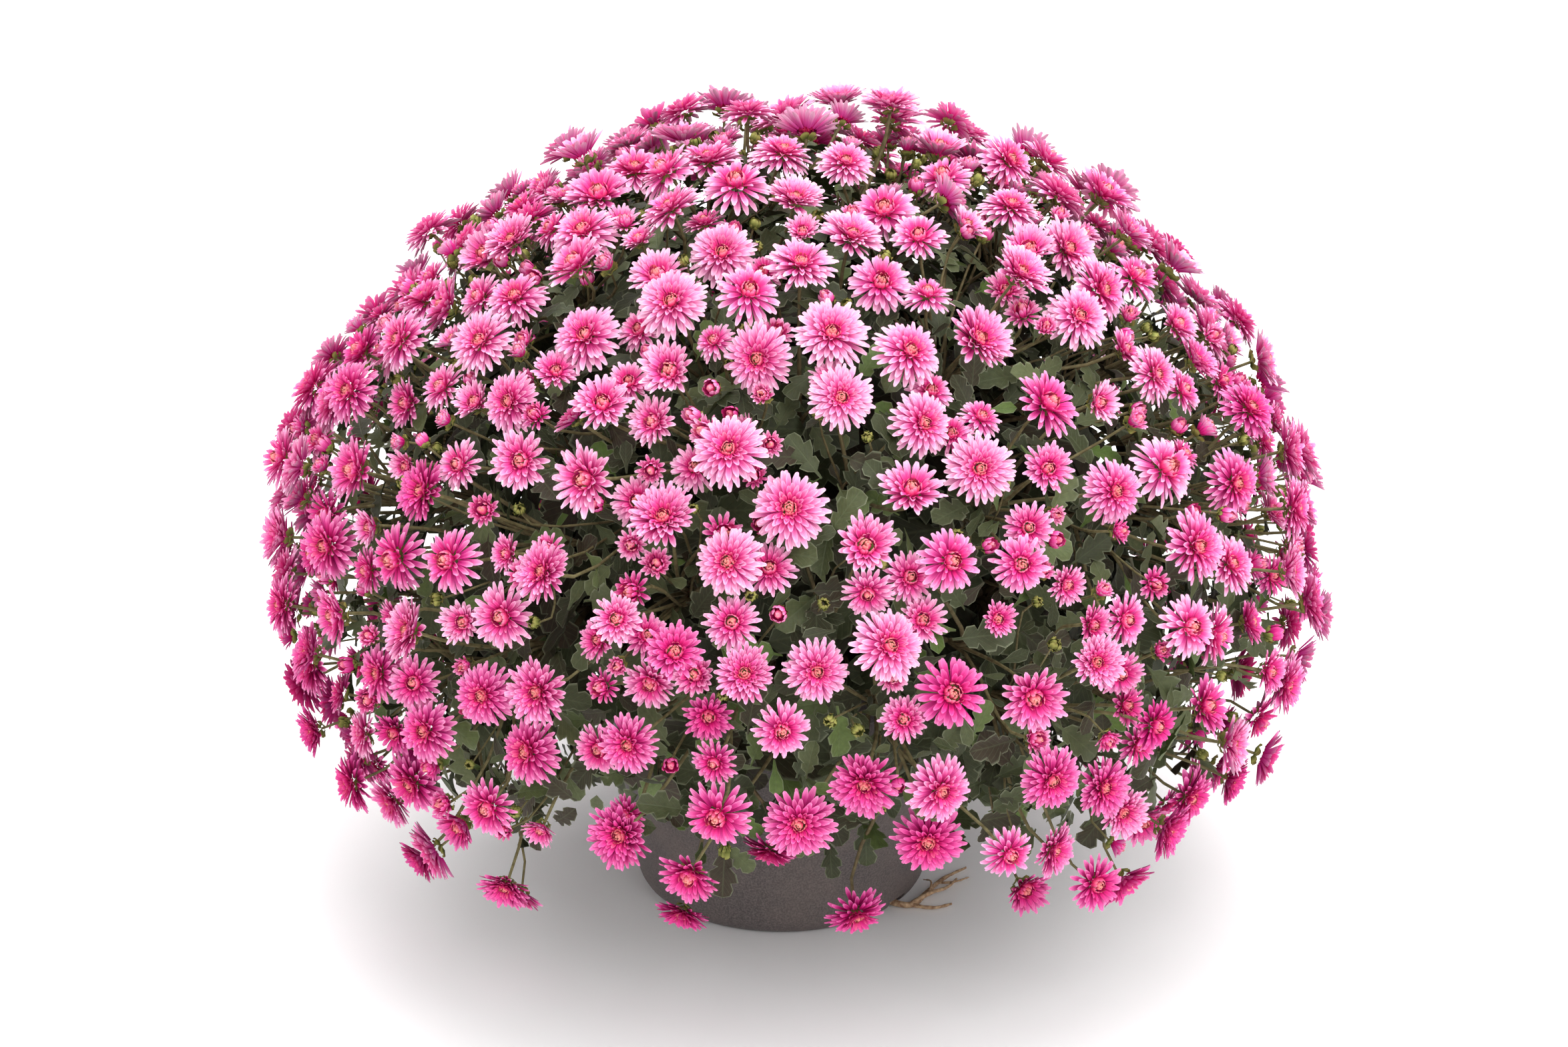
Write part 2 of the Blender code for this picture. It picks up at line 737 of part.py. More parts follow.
def build_soil(plant, earth):
    mesh = soil_plug()
    mesh.materials.append(earth)
    soil = bpy.data.objects.new("soil", mesh)
    plant.objects.link(soil)
    holes = collection_named("soil holes")
    up = np.array((0.0, 0.0, 1.0))
    for stem in range(1 + MIDDLE_STEMS + OUTER_STEMS):
        foot = stem_foot(stem)
        straight_hole(f"stem_hole_{stem + 1:02d}", foot + up * HOLE_ABOVE,
                      foot - up * (STEM_DEPTH + STEM_CLEARANCE),
                      STEM_RADIUS + STEM_CLEARANCE, STEM_SIDES, holes)
    tip, mouth = (np.array(point[:3]) for point in MAIN_ROOT[:2])
    end = tip + unit(tip - mouth) * ROOT_HOLE_PAST
    straight_hole("root_hole", mouth, end, MAIN_ROOT[0][3] + ROOT_HOLE_GAP, ROOT_HOLE_SIDES, holes)
    cut_with(soil, holes)


# Roots

def root_mesh(name, points, group):
    """Tapered root as a curve with filled ends, made a closed mesh"""
    curve = bpy.data.curves.new(name + " path", "CURVE")
    curve.dimensions = "3D"
    curve.bevel_depth = 1.0
    curve.bevel_resolution = 1
    curve.use_fill_caps = True
    spline = curve.splines.new("POLY")
    spline.points.add(len(points) - 1)
    for spot, (x, y, z, radius) in zip(spline.points, points):
        spot.co = (x, y, z, 1.0)
        spot.radius = radius
    source = bpy.data.objects.new(name + " path", curve)
    bpy.context.scene.collection.objects.link(source)
    view = bpy.context.evaluated_depsgraph_get()
    mesh = bpy.data.meshes.new_from_object(source.evaluated_get(view))
    shape = bmesh.new()
    shape.from_mesh(mesh)
    bmesh.ops.remove_doubles(shape, verts=shape.verts, dist=0.00001)
    bmesh.ops.recalc_face_normals(shape, faces=shape.faces)
    shape.to_mesh(mesh)
    shape.free()
    body = bpy.data.objects.new(name, mesh)
    group.objects.link(body)
    bpy.data.objects.remove(source)
    return body


def build_roots(plant, bark):
    roots = root_mesh("roots", MAIN_ROOT, plant)
    branches = collection_named("root branches")
    root_mesh("side root", SIDE_ROOT, branches)
    root_mesh("short root", SHORT_ROOT, branches)
    join_pieces(roots, branches)
    roots.data.materials.clear()
    roots.data.materials.append(bark)


def main():
    clear_scene()
    plant = collection_named("pot chrysanthemum")
    petals = make_material("pink petals", (0.72, 0.16, 0.42), 0.60)
    foliage = make_material("grey-green leaves", (0.035, 0.060, 0.030), 0.60)
    plastic = make_material("matt nursery pot plastic", (0.070, 0.062, 0.060), 0.55)
    earth = make_material("peat soil", (0.035, 0.022, 0.014), 0.95)
    bark = make_material("root bark", (0.30, 0.19, 0.11), 0.80)
    build_pot(plant, plastic)
    build_soil(plant, earth)
    build_roots(plant, bark)
    build_stems(plant, petals, foliage)


main()
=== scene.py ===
"""Dresses the pot chrysanthemum: petals, leaves, stalks, buds, pot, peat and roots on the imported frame."""
import random
from functools import partial
from math import cos, hypot, pi, radians, sin, sqrt, tau

import bpy
import numpy as np
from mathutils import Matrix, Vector, noise


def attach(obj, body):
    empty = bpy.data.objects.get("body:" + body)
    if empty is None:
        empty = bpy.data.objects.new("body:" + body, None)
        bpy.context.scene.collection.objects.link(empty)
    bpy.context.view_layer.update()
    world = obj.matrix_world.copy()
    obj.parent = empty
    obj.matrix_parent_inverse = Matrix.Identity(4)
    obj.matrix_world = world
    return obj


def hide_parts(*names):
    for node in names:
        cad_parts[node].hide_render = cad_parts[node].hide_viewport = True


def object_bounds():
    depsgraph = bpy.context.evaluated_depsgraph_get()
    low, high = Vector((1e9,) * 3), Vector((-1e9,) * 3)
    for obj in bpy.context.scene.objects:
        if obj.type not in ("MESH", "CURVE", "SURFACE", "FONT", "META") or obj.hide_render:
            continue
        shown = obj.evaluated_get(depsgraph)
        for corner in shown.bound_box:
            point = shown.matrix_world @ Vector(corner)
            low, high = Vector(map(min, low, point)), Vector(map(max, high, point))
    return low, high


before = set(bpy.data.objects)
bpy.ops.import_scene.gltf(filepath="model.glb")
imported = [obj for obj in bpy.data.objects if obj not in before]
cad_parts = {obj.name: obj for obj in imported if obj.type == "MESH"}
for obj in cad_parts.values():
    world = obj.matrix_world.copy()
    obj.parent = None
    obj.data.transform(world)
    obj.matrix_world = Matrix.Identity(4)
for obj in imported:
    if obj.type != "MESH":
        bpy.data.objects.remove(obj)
cad_box = [list(corner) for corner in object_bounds()]


# Pot: a dark injection-moulded nursery pot. A round foot is drawn up through a rounded heel
# into a gently flared wall, a stepped collar and a plain lip, then down the inside to the floor.
# Four drainage notches are cut through the heel.
POT_HEIGHT = 0.172
FOOT_RADIUS = 0.081
FOOT_EDGE = 0.006
HEEL_RADIUS = 0.092
HEEL_HEIGHT = 0.015
SHOULDER_RADIUS = 0.114
SHOULDER_DROP = 0.0015
COLLAR_HEIGHT = 0.020
COLLAR_RADIUS = 0.1185
WALL = 0.0022
FLOOR = 0.0030
POT_SIDES = 120
POT_STEPS = 6
NOTCHES = 4
NOTCH_TURN = radians(-37)
NOTCH_SIZE = (0.026, 0.016, 0.0095)
NOTCH_OUT = 0.004
NOTCH_BELOW = 0.001
SHARP_EDGE = radians(32)
# The speckle is about 1 mm across, coarser than the real grain, which is too fine to show
SPECKLE_SCALE = 900.0
# Dusty patches are about 40 mm wide
DUST_SCALE = 26.0


def start_mesh(operator, **settings):
    """Adds a primitive with nothing else selected and gives back its object"""
    bpy.ops.object.select_all(action="DESELECT")
    operator(**settings)
    return bpy.context.object


def select_only(*pieces):
    """Selects these pieces and makes the first one active"""
    bpy.ops.object.select_all(action="DESELECT")
    for piece in pieces:
        piece.select_set(True)
    bpy.context.view_layer.objects.active = pieces[0]


def linear(hex_colour):
    """Linear colour from an sRGB hex value"""
    channels = [int(hex_colour[i:i + 2], 16) / 255 for i in (1, 3, 5)]
    return tuple(c / 12.92 if c <= 0.04045 else ((c + 0.055) / 1.055) ** 2.4 for c in channels) + (1.0,)


def link_to(material, node, links):
    """Links from (node, socket) to this node's inputs"""
    for name, (source, socket) in links.items():
        material.node_tree.links.new(source.outputs[socket], node.inputs[name])


def add_node(material, kind, settings={}, links={}):
    """Adds a node with its settings and links. A setting is an input's name or number, a
    property, or a ramp's (position, colour) stops"""
    node = material.node_tree.nodes.new("ShaderNode" + kind)
    for name, value in settings.items():
        if name == "stops":
            while len(node.color_ramp.elements) < len(value):
                node.color_ramp.elements.new(0.5)
            for element, (position, hex_colour) in zip(node.color_ramp.elements, value):
                element.position = position
                element.color = linear(hex_colour)
        elif isinstance(name, int) or name in node.inputs:
            node.inputs[name].default_value = value
        else:
            setattr(node, name, value)
    link_to(material, node, links)
    return node


def start_material(name, roughness, specular):
    """A material, its Principled shader with metallic 0 and IOR 1.5, and its own add_node"""
    material = bpy.data.materials.new(name)
    material.use_nodes = True
    shader = material.node_tree.nodes["Principled BSDF"]
    shader.inputs["Roughness"].default_value = roughness
    shader.inputs["Specular IOR Level"].default_value = specular
    return material, shader, partial(add_node, material)


def turned_piece(name, rings, sides):
    """Extrudes a closed piece through (radius, height) pairs, as on a wheel"""
    piece = start_mesh(bpy.ops.mesh.primitive_circle_add, vertices=sides, radius=rings[0][0],
                       fill_type="NGON", location=(0.0, 0.0, rings[0][1]))
    piece.name = name
    bpy.ops.object.transform_apply(location=True)
    bpy.ops.object.mode_set(mode="EDIT")
    bpy.ops.mesh.select_mode(type="EDGE")
    bpy.ops.mesh.select_all(action="DESELECT")
    bpy.ops.mesh.select_non_manifold(extend=False, use_boundary=True, use_wire=False,
                                     use_multi_face=False, use_non_contiguous=False,
                                     use_verts=False)
    for (radius, height), (next_radius, next_height) in zip(rings, rings[1:]):
        bpy.ops.mesh.extrude_region_move(
            TRANSFORM_OT_translate={"value": (0.0, 0.0, next_height - height)})
        share = next_radius / radius
        bpy.ops.transform.resize(value=(share, share, 1.0), center_override=(0.0, 0.0, next_height))
    bpy.ops.mesh.edge_face_add()
    bpy.ops.mesh.select_all(action="SELECT")
    bpy.ops.mesh.normals_make_consistent(inside=False)
    bpy.ops.object.mode_set(mode="OBJECT")
    return piece


def pot_rings():
    """Outside of the pot from its foot up, then over the lip and down the inside"""
    rings = [(FOOT_RADIUS - FOOT_EDGE, 0.0), (FOOT_RADIUS, 0.0)]
    for step in range(1, POT_STEPS + 1):
        turn = pi / 2 * step / POT_STEPS
        rings.append((FOOT_RADIUS + (HEEL_RADIUS - FOOT_RADIUS) * sin(turn),
                      HEEL_HEIGHT * (1 - cos(turn))))
    collar_foot = POT_HEIGHT - COLLAR_HEIGHT
    for step in range(1, POT_STEPS + 1):
        share = step / POT_STEPS
        rings.append((HEEL_RADIUS + (SHOULDER_RADIUS - HEEL_RADIUS) * share,
                      HEEL_HEIGHT + (collar_foot - SHOULDER_DROP - HEEL_HEIGHT) * share))
    return rings + [
        (COLLAR_RADIUS - 0.0012, collar_foot),
        (COLLAR_RADIUS - 0.0006, collar_foot + 0.0008),
        (COLLAR_RADIUS, POT_HEIGHT - 0.0010),
        (COLLAR_RADIUS - 0.0004, POT_HEIGHT - 0.0003),
        (COLLAR_RADIUS - WALL / 2, POT_HEIGHT),
        (COLLAR_RADIUS - WALL, POT_HEIGHT - 0.0006),
        (COLLAR_RADIUS - WALL - 0.001, POT_HEIGHT - 0.008),
        (HEEL_RADIUS - WALL, HEEL_HEIGHT + 0.001),
        (FOOT_RADIUS - WALL, FLOOR),
    ]


def make_pot():
    pot = turned_piece("nursery_pot", pot_rings(), POT_SIDES)
    for step in range(NOTCHES):
        turn = NOTCH_TURN + tau * step / NOTCHES
        middle = FOOT_RADIUS + NOTCH_OUT
        notch = start_mesh(bpy.ops.mesh.primitive_cube_add, size=1.0, scale=NOTCH_SIZE,
                           rotation=(0.0, 0.0, turn),
                           location=(middle * cos(turn), middle * sin(turn),
                                     NOTCH_SIZE[2] / 2 - NOTCH_BELOW))
        cut = pot.modifiers.new("notch", "BOOLEAN")
        cut.operation = "DIFFERENCE"
        cut.object = notch
        select_only(pot)
        bpy.ops.object.modifier_apply(modifier=cut.name)
        bpy.data.objects.remove(notch)
    select_only(pot)
    bpy.ops.object.shade_smooth_by_angle(angle=SHARP_EDGE)
    return pot


def pot_plastic():
    """Recycled polypropylene: matt, warm dark grey, with a fine pale speckle and faint dust"""
    material, shader, node = start_material("recycled polypropylene, moulded", 0.52, 0.42)
    place = node("TexCoord")
    speckle = node("TexNoise", {"Scale": SPECKLE_SCALE, "Detail": 3.0}, {"Vector": (place, "Object")})
    tone = node("ValToRGB", {"stops": ((0.36, "#484241"), (0.74, "#6A605E"))}, {"Fac": (speckle, "Fac")})
    blotch = node("TexNoise", {"Scale": DUST_SCALE, "Detail": 4.0}, {"Vector": (place, "Object")})
    wear = node("MapRange", {"From Min": 0.42, "From Max": 0.75, "To Max": 0.32},
                {"Value": (blotch, "Fac")})
    dusty = node("Mix", {"data_type": "RGBA", "B": linear("#7A6C64")},
                 {"Factor": (wear, "Result"), "A": (tone, "Color")})
    grain = node("Bump", {"Strength": 0.12, "Distance": 0.0004}, {"Height": (speckle, "Fac")})
    link_to(material, shader, {"Base Color": (dusty, "Result"), "Normal": (grain, "Normal")})
    return material


pot = make_pot()
pot.data.materials.append(pot_plastic())
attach(pot, "root")
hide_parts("pot")


# Peat: damp brown potting soil that fills the pot to a finger under its lip. A turned plug
# is given many rings on top, and its surface is broken up with crumbs and hollows.
SOIL_TOP = 0.158
SOIL_BELOW = 0.0004
SOIL_AROUND = 0.0012
SOIL_HEEL = 0.002
SOIL_SIDES = 96
SOIL_RINGS = 26
CRUMB = 0.0035
CRUMB_LIMIT = 0.9
# Clods are about 11 mm apart and crumbs 2.4 mm; the colour's grains are 3 mm
CLOD_SCALE, CRUMB_SCALE = 90, 420
GRAIN_SCALE = 320.0


def make_soil():
    slope = (COLLAR_RADIUS - HEEL_RADIUS) / (POT_HEIGHT - HEEL_HEIGHT)
    top_radius = COLLAR_RADIUS - WALL - SOIL_AROUND - slope * (POT_HEIGHT - SOIL_TOP)
    rings = [(FOOT_RADIUS - WALL - SOIL_HEEL, FLOOR + SOIL_BELOW),
             (HEEL_RADIUS - WALL - SOIL_AROUND, HEEL_HEIGHT + SOIL_HEEL),
             (top_radius, SOIL_TOP - CRUMB)]
    for step in range(1, SOIL_RINGS):
        rings.append((top_radius * (1 - step / SOIL_RINGS), SOIL_TOP - CRUMB))
    soil = turned_piece("peat", rings, SOIL_SIDES)
    for vert in soil.data.vertices:
        if vert.co.z > SOIL_TOP - CRUMB - 0.0001 and vert.co.xy.length < top_radius * 0.995:
            lump = noise.fractal(vert.co * CLOD_SCALE, 1.0, 2.0, 4)
            lump += noise.noise(vert.co * CRUMB_SCALE) * 0.5
            vert.co.z += CRUMB * max(-CRUMB_LIMIT, min(CRUMB_LIMIT, lump))
    bpy.ops.object.shade_smooth()
    return soil


def grained_material(name, roughness, specular, scale, detail, stops, strength, depth):
    """Crumbly or flaky stuff, whose one grain gives both its colour and its relief"""
    material, shader, node = start_material(name, roughness, specular)
    place = node("TexCoord")
    grain = node("TexNoise", {"Scale": scale, "Detail": detail}, {"Vector": (place, "Object")})
    tone = node("ValToRGB", {"stops": stops}, {"Fac": (grain, "Fac")})
    relief = node("Bump", {"Strength": strength, "Distance": depth}, {"Height": (grain, "Fac")})
    link_to(material, shader, {"Base Color": (tone, "Color"), "Normal": (relief, "Normal")})
    return material


# Milled sphagnum peat: dead matt, dark brown, with straw-coloured fibres
PEAT_TONES = ((0.30, "#1C130D"), (0.78, "#5A4230"))
peat = grained_material("milled peat", 0.95, 0.2, GRAIN_SCALE, 8.0, PEAT_TONES, 0.8, 0.002)
soil = make_soil()
soil.data.materials.append(peat)
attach(soil, "root")
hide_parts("soil")


# Roots: brown woody roots that have grown out of a drainage notch and lie on the surface.
# Each is a tapered tube along a smooth curve, wandering a little, with thin side roots.
# Each point is x, y, z and the root's radius there
ROOTS = (
    ((0.0586, -0.0442, 0.0040, 0.0021), (0.0692, -0.0522, 0.0034, 0.0021),
     (0.0800, -0.0540, 0.0027, 0.0020), (0.0900, -0.0400, 0.0024, 0.0017),
     (0.1020, -0.0180, 0.0021, 0.0012), (0.1170, -0.0020, 0.0018, 0.0007)),
    ((0.0800, -0.0535, 0.0031, 0.0015), (0.0930, -0.0440, 0.0060, 0.0013),
     (0.1040, -0.0340, 0.0044, 0.0010), (0.1110, -0.0180, 0.0016, 0.0007)),
    ((0.0805, -0.0535, 0.0027, 0.0014), (0.0950, -0.0555, 0.0022, 0.0011),
     (0.1060, -0.0500, 0.0018, 0.0007)),
    ((0.0985, -0.0250, 0.0026, 0.0009), (0.1080, -0.0240, 0.0030, 0.0007),
     (0.1180, -0.0150, 0.0012, 0.0004)),
    ((0.0925, -0.0442, 0.0056, 0.0008), (0.0940, -0.0300, 0.0062, 0.0006),
     (0.0905, -0.0180, 0.0010, 0.0004)),
)
ROOT_WANDER = 0.0007
# Knots are about 3 mm apart and 0.35 mm high, and bark streaks 2.4 mm
KNOT_SCALE, KNOT_HEIGHT = 300, 0.00035
BARK_SCALE = 420.0
LOWEST_BARK = 0.0001


def add_object(name, data):
    made = bpy.data.objects.new(name, data)
    bpy.context.scene.collection.objects.link(made)
    return made


def start_tube(name, roundness):
    """Curve that is drawn as a tube, each point's radius the tube's own"""
    curve = bpy.data.curves.new(name, "CURVE")
    curve.dimensions = "3D"
    curve.bevel_depth = 1.0
    curve.bevel_resolution = roundness
    curve.use_fill_caps = True
    return curve


def root_tube(points, rng):
    curve = start_tube("root", 2)
    curve.resolution_u = 8
    spline = curve.splines.new("BEZIER")
    spline.bezier_points.add(len(points) - 1)
    for spot, (x, y, z, radius) in zip(spline.bezier_points, points):
        spot.co = (x + rng.uniform(-ROOT_WANDER, ROOT_WANDER),
                   y + rng.uniform(-ROOT_WANDER, ROOT_WANDER), z)
        spot.radius = radius
        spot.handle_left_type = "AUTO"
        spot.handle_right_type = "AUTO"
    return add_object("root", curve)


def make_roots():
    rng = random.Random(5)
    select_only(*[root_tube(points, rng) for points in ROOTS])
    bpy.ops.object.convert(target="MESH")
    bpy.ops.object.join()
    joined = bpy.context.object
    joined.name = "woody_roots"
    for vert in joined.data.vertices:
        vert.co += vert.normal * (noise.noise(vert.co * KNOT_SCALE) * KNOT_HEIGHT)
        vert.co.z = max(vert.co.z, LOWEST_BARK)
    bpy.ops.object.shade_smooth()
    return joined


# Dry root bark: matt tan brown, streaked and slightly flaky
BARK_TONES = ((0.34, "#82624A"), (0.70, "#C8AA88"))
bark = grained_material("dry root bark", 0.82, 0.25, BARK_SCALE, 6.0, BARK_TONES, 0.5, 0.0006)
roots = make_roots()
roots.data.materials.append(bark)
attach(roots, "root")
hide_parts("roots")


# Shape of the head: the ball that the blooms stand on, and where each open bloom is.
# The rule is the one that placed the blooms of the solids, so each fine bloom sits on its own.
UP = np.array((0.0, 0.0, 1.0))
HEAD_CENTRE = np.array((0.009, 0.0, 0.2165))
HEAD_RADIUS = 0.313
HEAD_RISE = 0.262
HEAD_DROP = 0.200
RAGGED = 0.011
LOWER_EDGE = 0.084
FRONT_LIFT = 0.070
FRONT_SHARPNESS = 4
ROOTS_AZIMUTH = radians(-73)
ROOTS_LIFT = 0.022
ROOTS_SHARPNESS = 60
SEED = 17
SPIRAL_STEPS = 412
LOWEST_WAY = -0.72
WAY_JITTER = 0.035
BLOOM_SMALL = 0.0140
BLOOM_LARGE = 0.0200
SIZE_SKEW = 0.6
BLOOM_SPACING = 1.12
BLOOM_CLEAR = 1.02
RELAX_ROUNDS = 60
RELAX_SHARE = 0.5
FACING_JITTER = 0.16
# Rings of stems: how many, tilt and first azimuth in degrees, distance from the pot's axis at the soil
STEM_RINGS = ((5, 44, 17, 0.034), (7, 86, 12, 0.072))
# Each stray is its azimuth in degrees, distance from the pot's axis, height and radius
STRAY_BLOOMS = (
    (17, 0.067, 0.498, 0.0180),
    (183, 0.298, 0.262, 0.0160),
    (-3, 0.318, 0.200, 0.0190),
    (-5, 0.272, 0.112, 0.0150),
    (-32, 0.248, 0.104, 0.0185),
    (-49, 0.214, 0.074, 0.0185),
    (-77, 0.190, 0.070, 0.0180),
    (-92, 0.176, 0.106, 0.0165),
    (-108, 0.184, 0.066, 0.0165),
    (-139, 0.205, 0.056, 0.0160),
    (-155, 0.238, 0.062, 0.0160),
    (152, 0.232, 0.066, 0.0165),
    (96, 0.212, 0.060, 0.0165),
    (48, 0.228, 0.066, 0.0160),
)


def unit(vector):
    return vector / np.linalg.norm(vector)


def wobble(rng, size):
    return np.array([rng.gauss(0, size) for _ in range(3)])


def head_reach(way):
    """Distance from the middle of the head to the bloom surface, along each unit way"""
    rise = np.where(way[..., 2] > 0, HEAD_RISE, HEAD_DROP)
    flat = np.hypot(way[..., 0], way[..., 1])
    return 1 / np.sqrt((flat / HEAD_RADIUS) ** 2 + (way[..., 2] / rise) ** 2)


def head_point(way, share=1.0):
    return HEAD_CENTRE + way * (head_reach(way) * share)[..., None]


def head_normal(point):
    """Outward normal of the head at the height and azimuth of a point"""
    out = point - HEAD_CENTRE
    rise = HEAD_RISE if out[2] > 0 else HEAD_DROP
    return unit(out / np.array((HEAD_RADIUS ** 2, HEAD_RADIUS ** 2, rise ** 2)))


def lower_edge(point):
    """Height of the lowest blooms, which is lifted in front, where the pot shows"""
    azimuth = np.arctan2(point[..., 1], point[..., 0])
    return LOWER_EDGE + FRONT_LIFT * np.maximum(0, -np.sin(azimuth)) ** FRONT_SHARPNESS


def bloom_floor(point):
    """Lowest place for a bloom: the edge, and higher still in front of the roots"""
    azimuth = np.arctan2(point[..., 1], point[..., 0])
    window = np.maximum(0, np.cos(azimuth - ROOTS_AZIMUTH)) ** ROOTS_SHARPNESS
    return lower_edge(point) + ROOTS_LIFT * window


def spiral_ways(steps, lowest):
    """Ways out of the middle of the head, evenly spread from the top down"""
    turn = pi * (3 - sqrt(5))
    ways = []
    for step in range(steps):
        height = 1 - (1 - lowest) * (step + 0.5) / steps
        flat = sqrt(1 - height * height)
        ways.append((flat * cos(step * turn), flat * sin(step * turn), height))
    return np.array(ways)


def spread_apart(ways, radii, fixed):
    """Moves the ways until blooms of these radii stand clear of each other and of the fixed ones"""
    want = (radii[:len(ways), None] + radii[None, :]) * BLOOM_SPACING
    np.fill_diagonal(want, 0)
    for _ in range(RELAX_ROUNDS):
        points = head_point(ways)
        apart = points[:, None] - np.vstack((points, fixed))[None, :]
        distance = np.linalg.norm(apart, axis=2) + np.eye(len(points), len(radii))
        push = np.clip(want - distance, 0, None) / distance
        points = points + (apart * push[:, :, None]).sum(axis=1) * RELAX_SHARE
        points[:, 2] = np.maximum(points[:, 2], bloom_floor(points))
        ways = points - HEAD_CENTRE
        ways /= np.linalg.norm(ways, axis=1)[:, None]
    return ways


def around_axis(azimuth, distance, height):
    angle = radians(azimuth)
    return np.array((distance * cos(angle), distance * sin(angle), height))


def fit_radii(places, radii):
    """Shrinks blooms that stand too near a neighbour, so that no two touch"""
    distance = np.linalg.norm(places[:, None] - places[None, :], axis=2)
    np.fill_diagonal(distance, 1.0)
    share = distance / ((radii[:, None] + radii[None, :]) * BLOOM_CLEAR)
    return radii * np.minimum(1.0, share.min(axis=1))


def place_blooms():
    """Open blooms as (place, facing, radius), the strays last"""
    rng = random.Random(SEED)
    ways = spiral_ways(SPIRAL_STEPS, LOWEST_WAY)
    ways += np.array([wobble(rng, WAY_JITTER) for _ in ways])
    ways /= np.linalg.norm(ways, axis=1)[:, None]
    points = head_point(ways)
    ways = ways[points[:, 2] > lower_edge(points)]
    radii = [BLOOM_SMALL + (BLOOM_LARGE - BLOOM_SMALL) * rng.random() ** SIZE_SKEW for _ in ways]
    radii += [stray[3] for stray in STRAY_BLOOMS]
    strays = [around_axis(azimuth, distance, height) for azimuth, distance, height, _ in STRAY_BLOOMS]
    ways = spread_apart(ways, np.array(radii), np.array(strays))
    places = [point + head_normal(point) * rng.uniform(-RAGGED, RAGGED)
              for point in head_point(ways)] + strays
    radii = fit_radii(np.array(places), np.array(radii))
    blooms = []
    for place, radius in zip(places, radii):
        sway = wobble(rng, FACING_JITTER)
        blooms.append((place, unit(head_normal(place) + sway), radius))
    return blooms


def fan_of_stems():
    """Each stem's way out of the middle of the head, and where it stands in the soil"""
    ways, feet = [UP], [np.array((0.0, 0.0, SOIL_TOP))]
    for count, tilt, first, ring in STEM_RINGS:
        lean = radians(tilt)
        for step in range(count):
            turn = radians(first) + tau * step / count
            ways.append(np.array((sin(lean) * cos(turn), sin(lean) * sin(turn), cos(lean))))
            feet.append(np.array((ring * cos(turn), ring * sin(turn), SOIL_TOP)))
    return ways, feet


STEM_WAYS, STEM_FEET = fan_of_stems()


def nearest_stem(point):
    out = point - HEAD_CENTRE
    return int(np.argmax([out @ way for way in STEM_WAYS]))


def side_frame(way):
    """Two ways square to a way and to each other"""
    across = np.cross(way, UP)
    if np.linalg.norm(across) < 1e-6:
        across = np.array((1.0, 0.0, 0.0))
    across = unit(across)
    return across, np.cross(way, across)


BLOOMS = place_blooms()


# Blooms: double decorative florets in rings, from broad flat straps outside to a tight
# incurved eye. A petal is one small strip, cupped and curled; rings of it make a few heads
# and buds, and each of these is copied to many places, turned and sized for its own.
GREEN = 2.0
INCURVED = 90
FLORET_SPIN = 0.20
FLORET_LENGTHS = (0.88, 1.04)
FLORET_WIDTHS = (0.86, 1.10)
FLORET_TILT = 0.22
CURL_FOLLOWS = 1.6
LIFT_BELOW = 0.6
LAYER_JITTER = 0.04
TIP_ROUND = 0.05
CURL_STEPS = 25
# Rows of a strip from its foot to its tip: reach, half width, forward swing of the edge
STRAP_ROWS = ((0.28, 0.62, 0.0), (0.80, 1.0, 0.0), (0.97, 0.52, 0.0))
HOOD_ROWS = ((0.10, 0.50, 0.0), (0.48, 0.95, 0.0), (0.78, 1.0, 0.0), (0.97, 0.50, 0.0))


def shaped_strip(rows):
    """Flat strip of three columns along +Y: every row is moved and narrowed, then its edges swung"""
    strip = start_mesh(bpy.ops.mesh.primitive_grid_add, x_subdivisions=2,
                       y_subdivisions=len(rows) - 1, size=2.0)
    verts = strip.data.vertices
    row_of = [round((vert.co.y + 1) / 2 * (len(rows) - 1)) for vert in verts]
    aside = np.array([float(round(vert.co.x)) for vert in verts])
    for row, (reach, half, swing) in enumerate(rows):
        height = -1 + 2 * row / (len(rows) - 1)
        for picked, width, shift in ((np.ones(len(verts)), half, reach - height), (aside, 1.0, swing)):
            strip.data.polygons.foreach_set("select", [False] * len(strip.data.polygons))
            strip.data.edges.foreach_set("select", [False] * len(strip.data.edges))
            verts.foreach_set("select", [at == row and bool(pick) for at, pick in zip(row_of, picked)])
            bpy.ops.object.mode_set(mode="EDIT")
            bpy.ops.transform.translate(value=(0.0, shift, 0.0))
            bpy.ops.transform.resize(value=(width, 1.0, 1.0), center_override=(0.0, 0.0, 0.0))
            bpy.ops.object.mode_set(mode="OBJECT")
    points = np.array([vert.co[:] for vert in verts])
    faces = np.array([face.vertices[:] for face in strip.data.polygons])
    bpy.data.objects.remove(strip)
    return aside, points[:, 0], points[:, 1], faces


STRAP = shaped_strip(STRAP_ROWS)
HOOD = shaped_strip(HOOD_ROWS)


def floret(strip, length, width, rise, curl, cup, out, up):
    """Points of one floret that leaves (out, up) at angle rise and ends at angle curl"""
    aside, across, reach, _ = strip
    steps = np.linspace(0, 1, CURL_STEPS)
    angle = rise + (curl - rise) * steps
    middle = (angle[1:] + angle[:-1]) / 2
    along_out = np.concatenate(((0,), np.cumsum(np.cos(middle)))) / (CURL_STEPS - 1)
    along_up = np.concatenate(((0,), np.cumsum(np.sin(middle)))) / (CURL_STEPS - 1)
    turn = rise + (curl - rise) * reach
    half = width / 2 * across
    lift = cup * np.abs(half)
    point = reach + TIP_ROUND * (1 - aside ** 2) * (reach > 0.9)
    radial = out + length * np.interp(point, steps, along_out) - np.sin(turn) * lift
    height = up + length * np.interp(point, steps, along_up) + np.cos(turn) * lift
    return np.stack((radial, -half, height), axis=1)


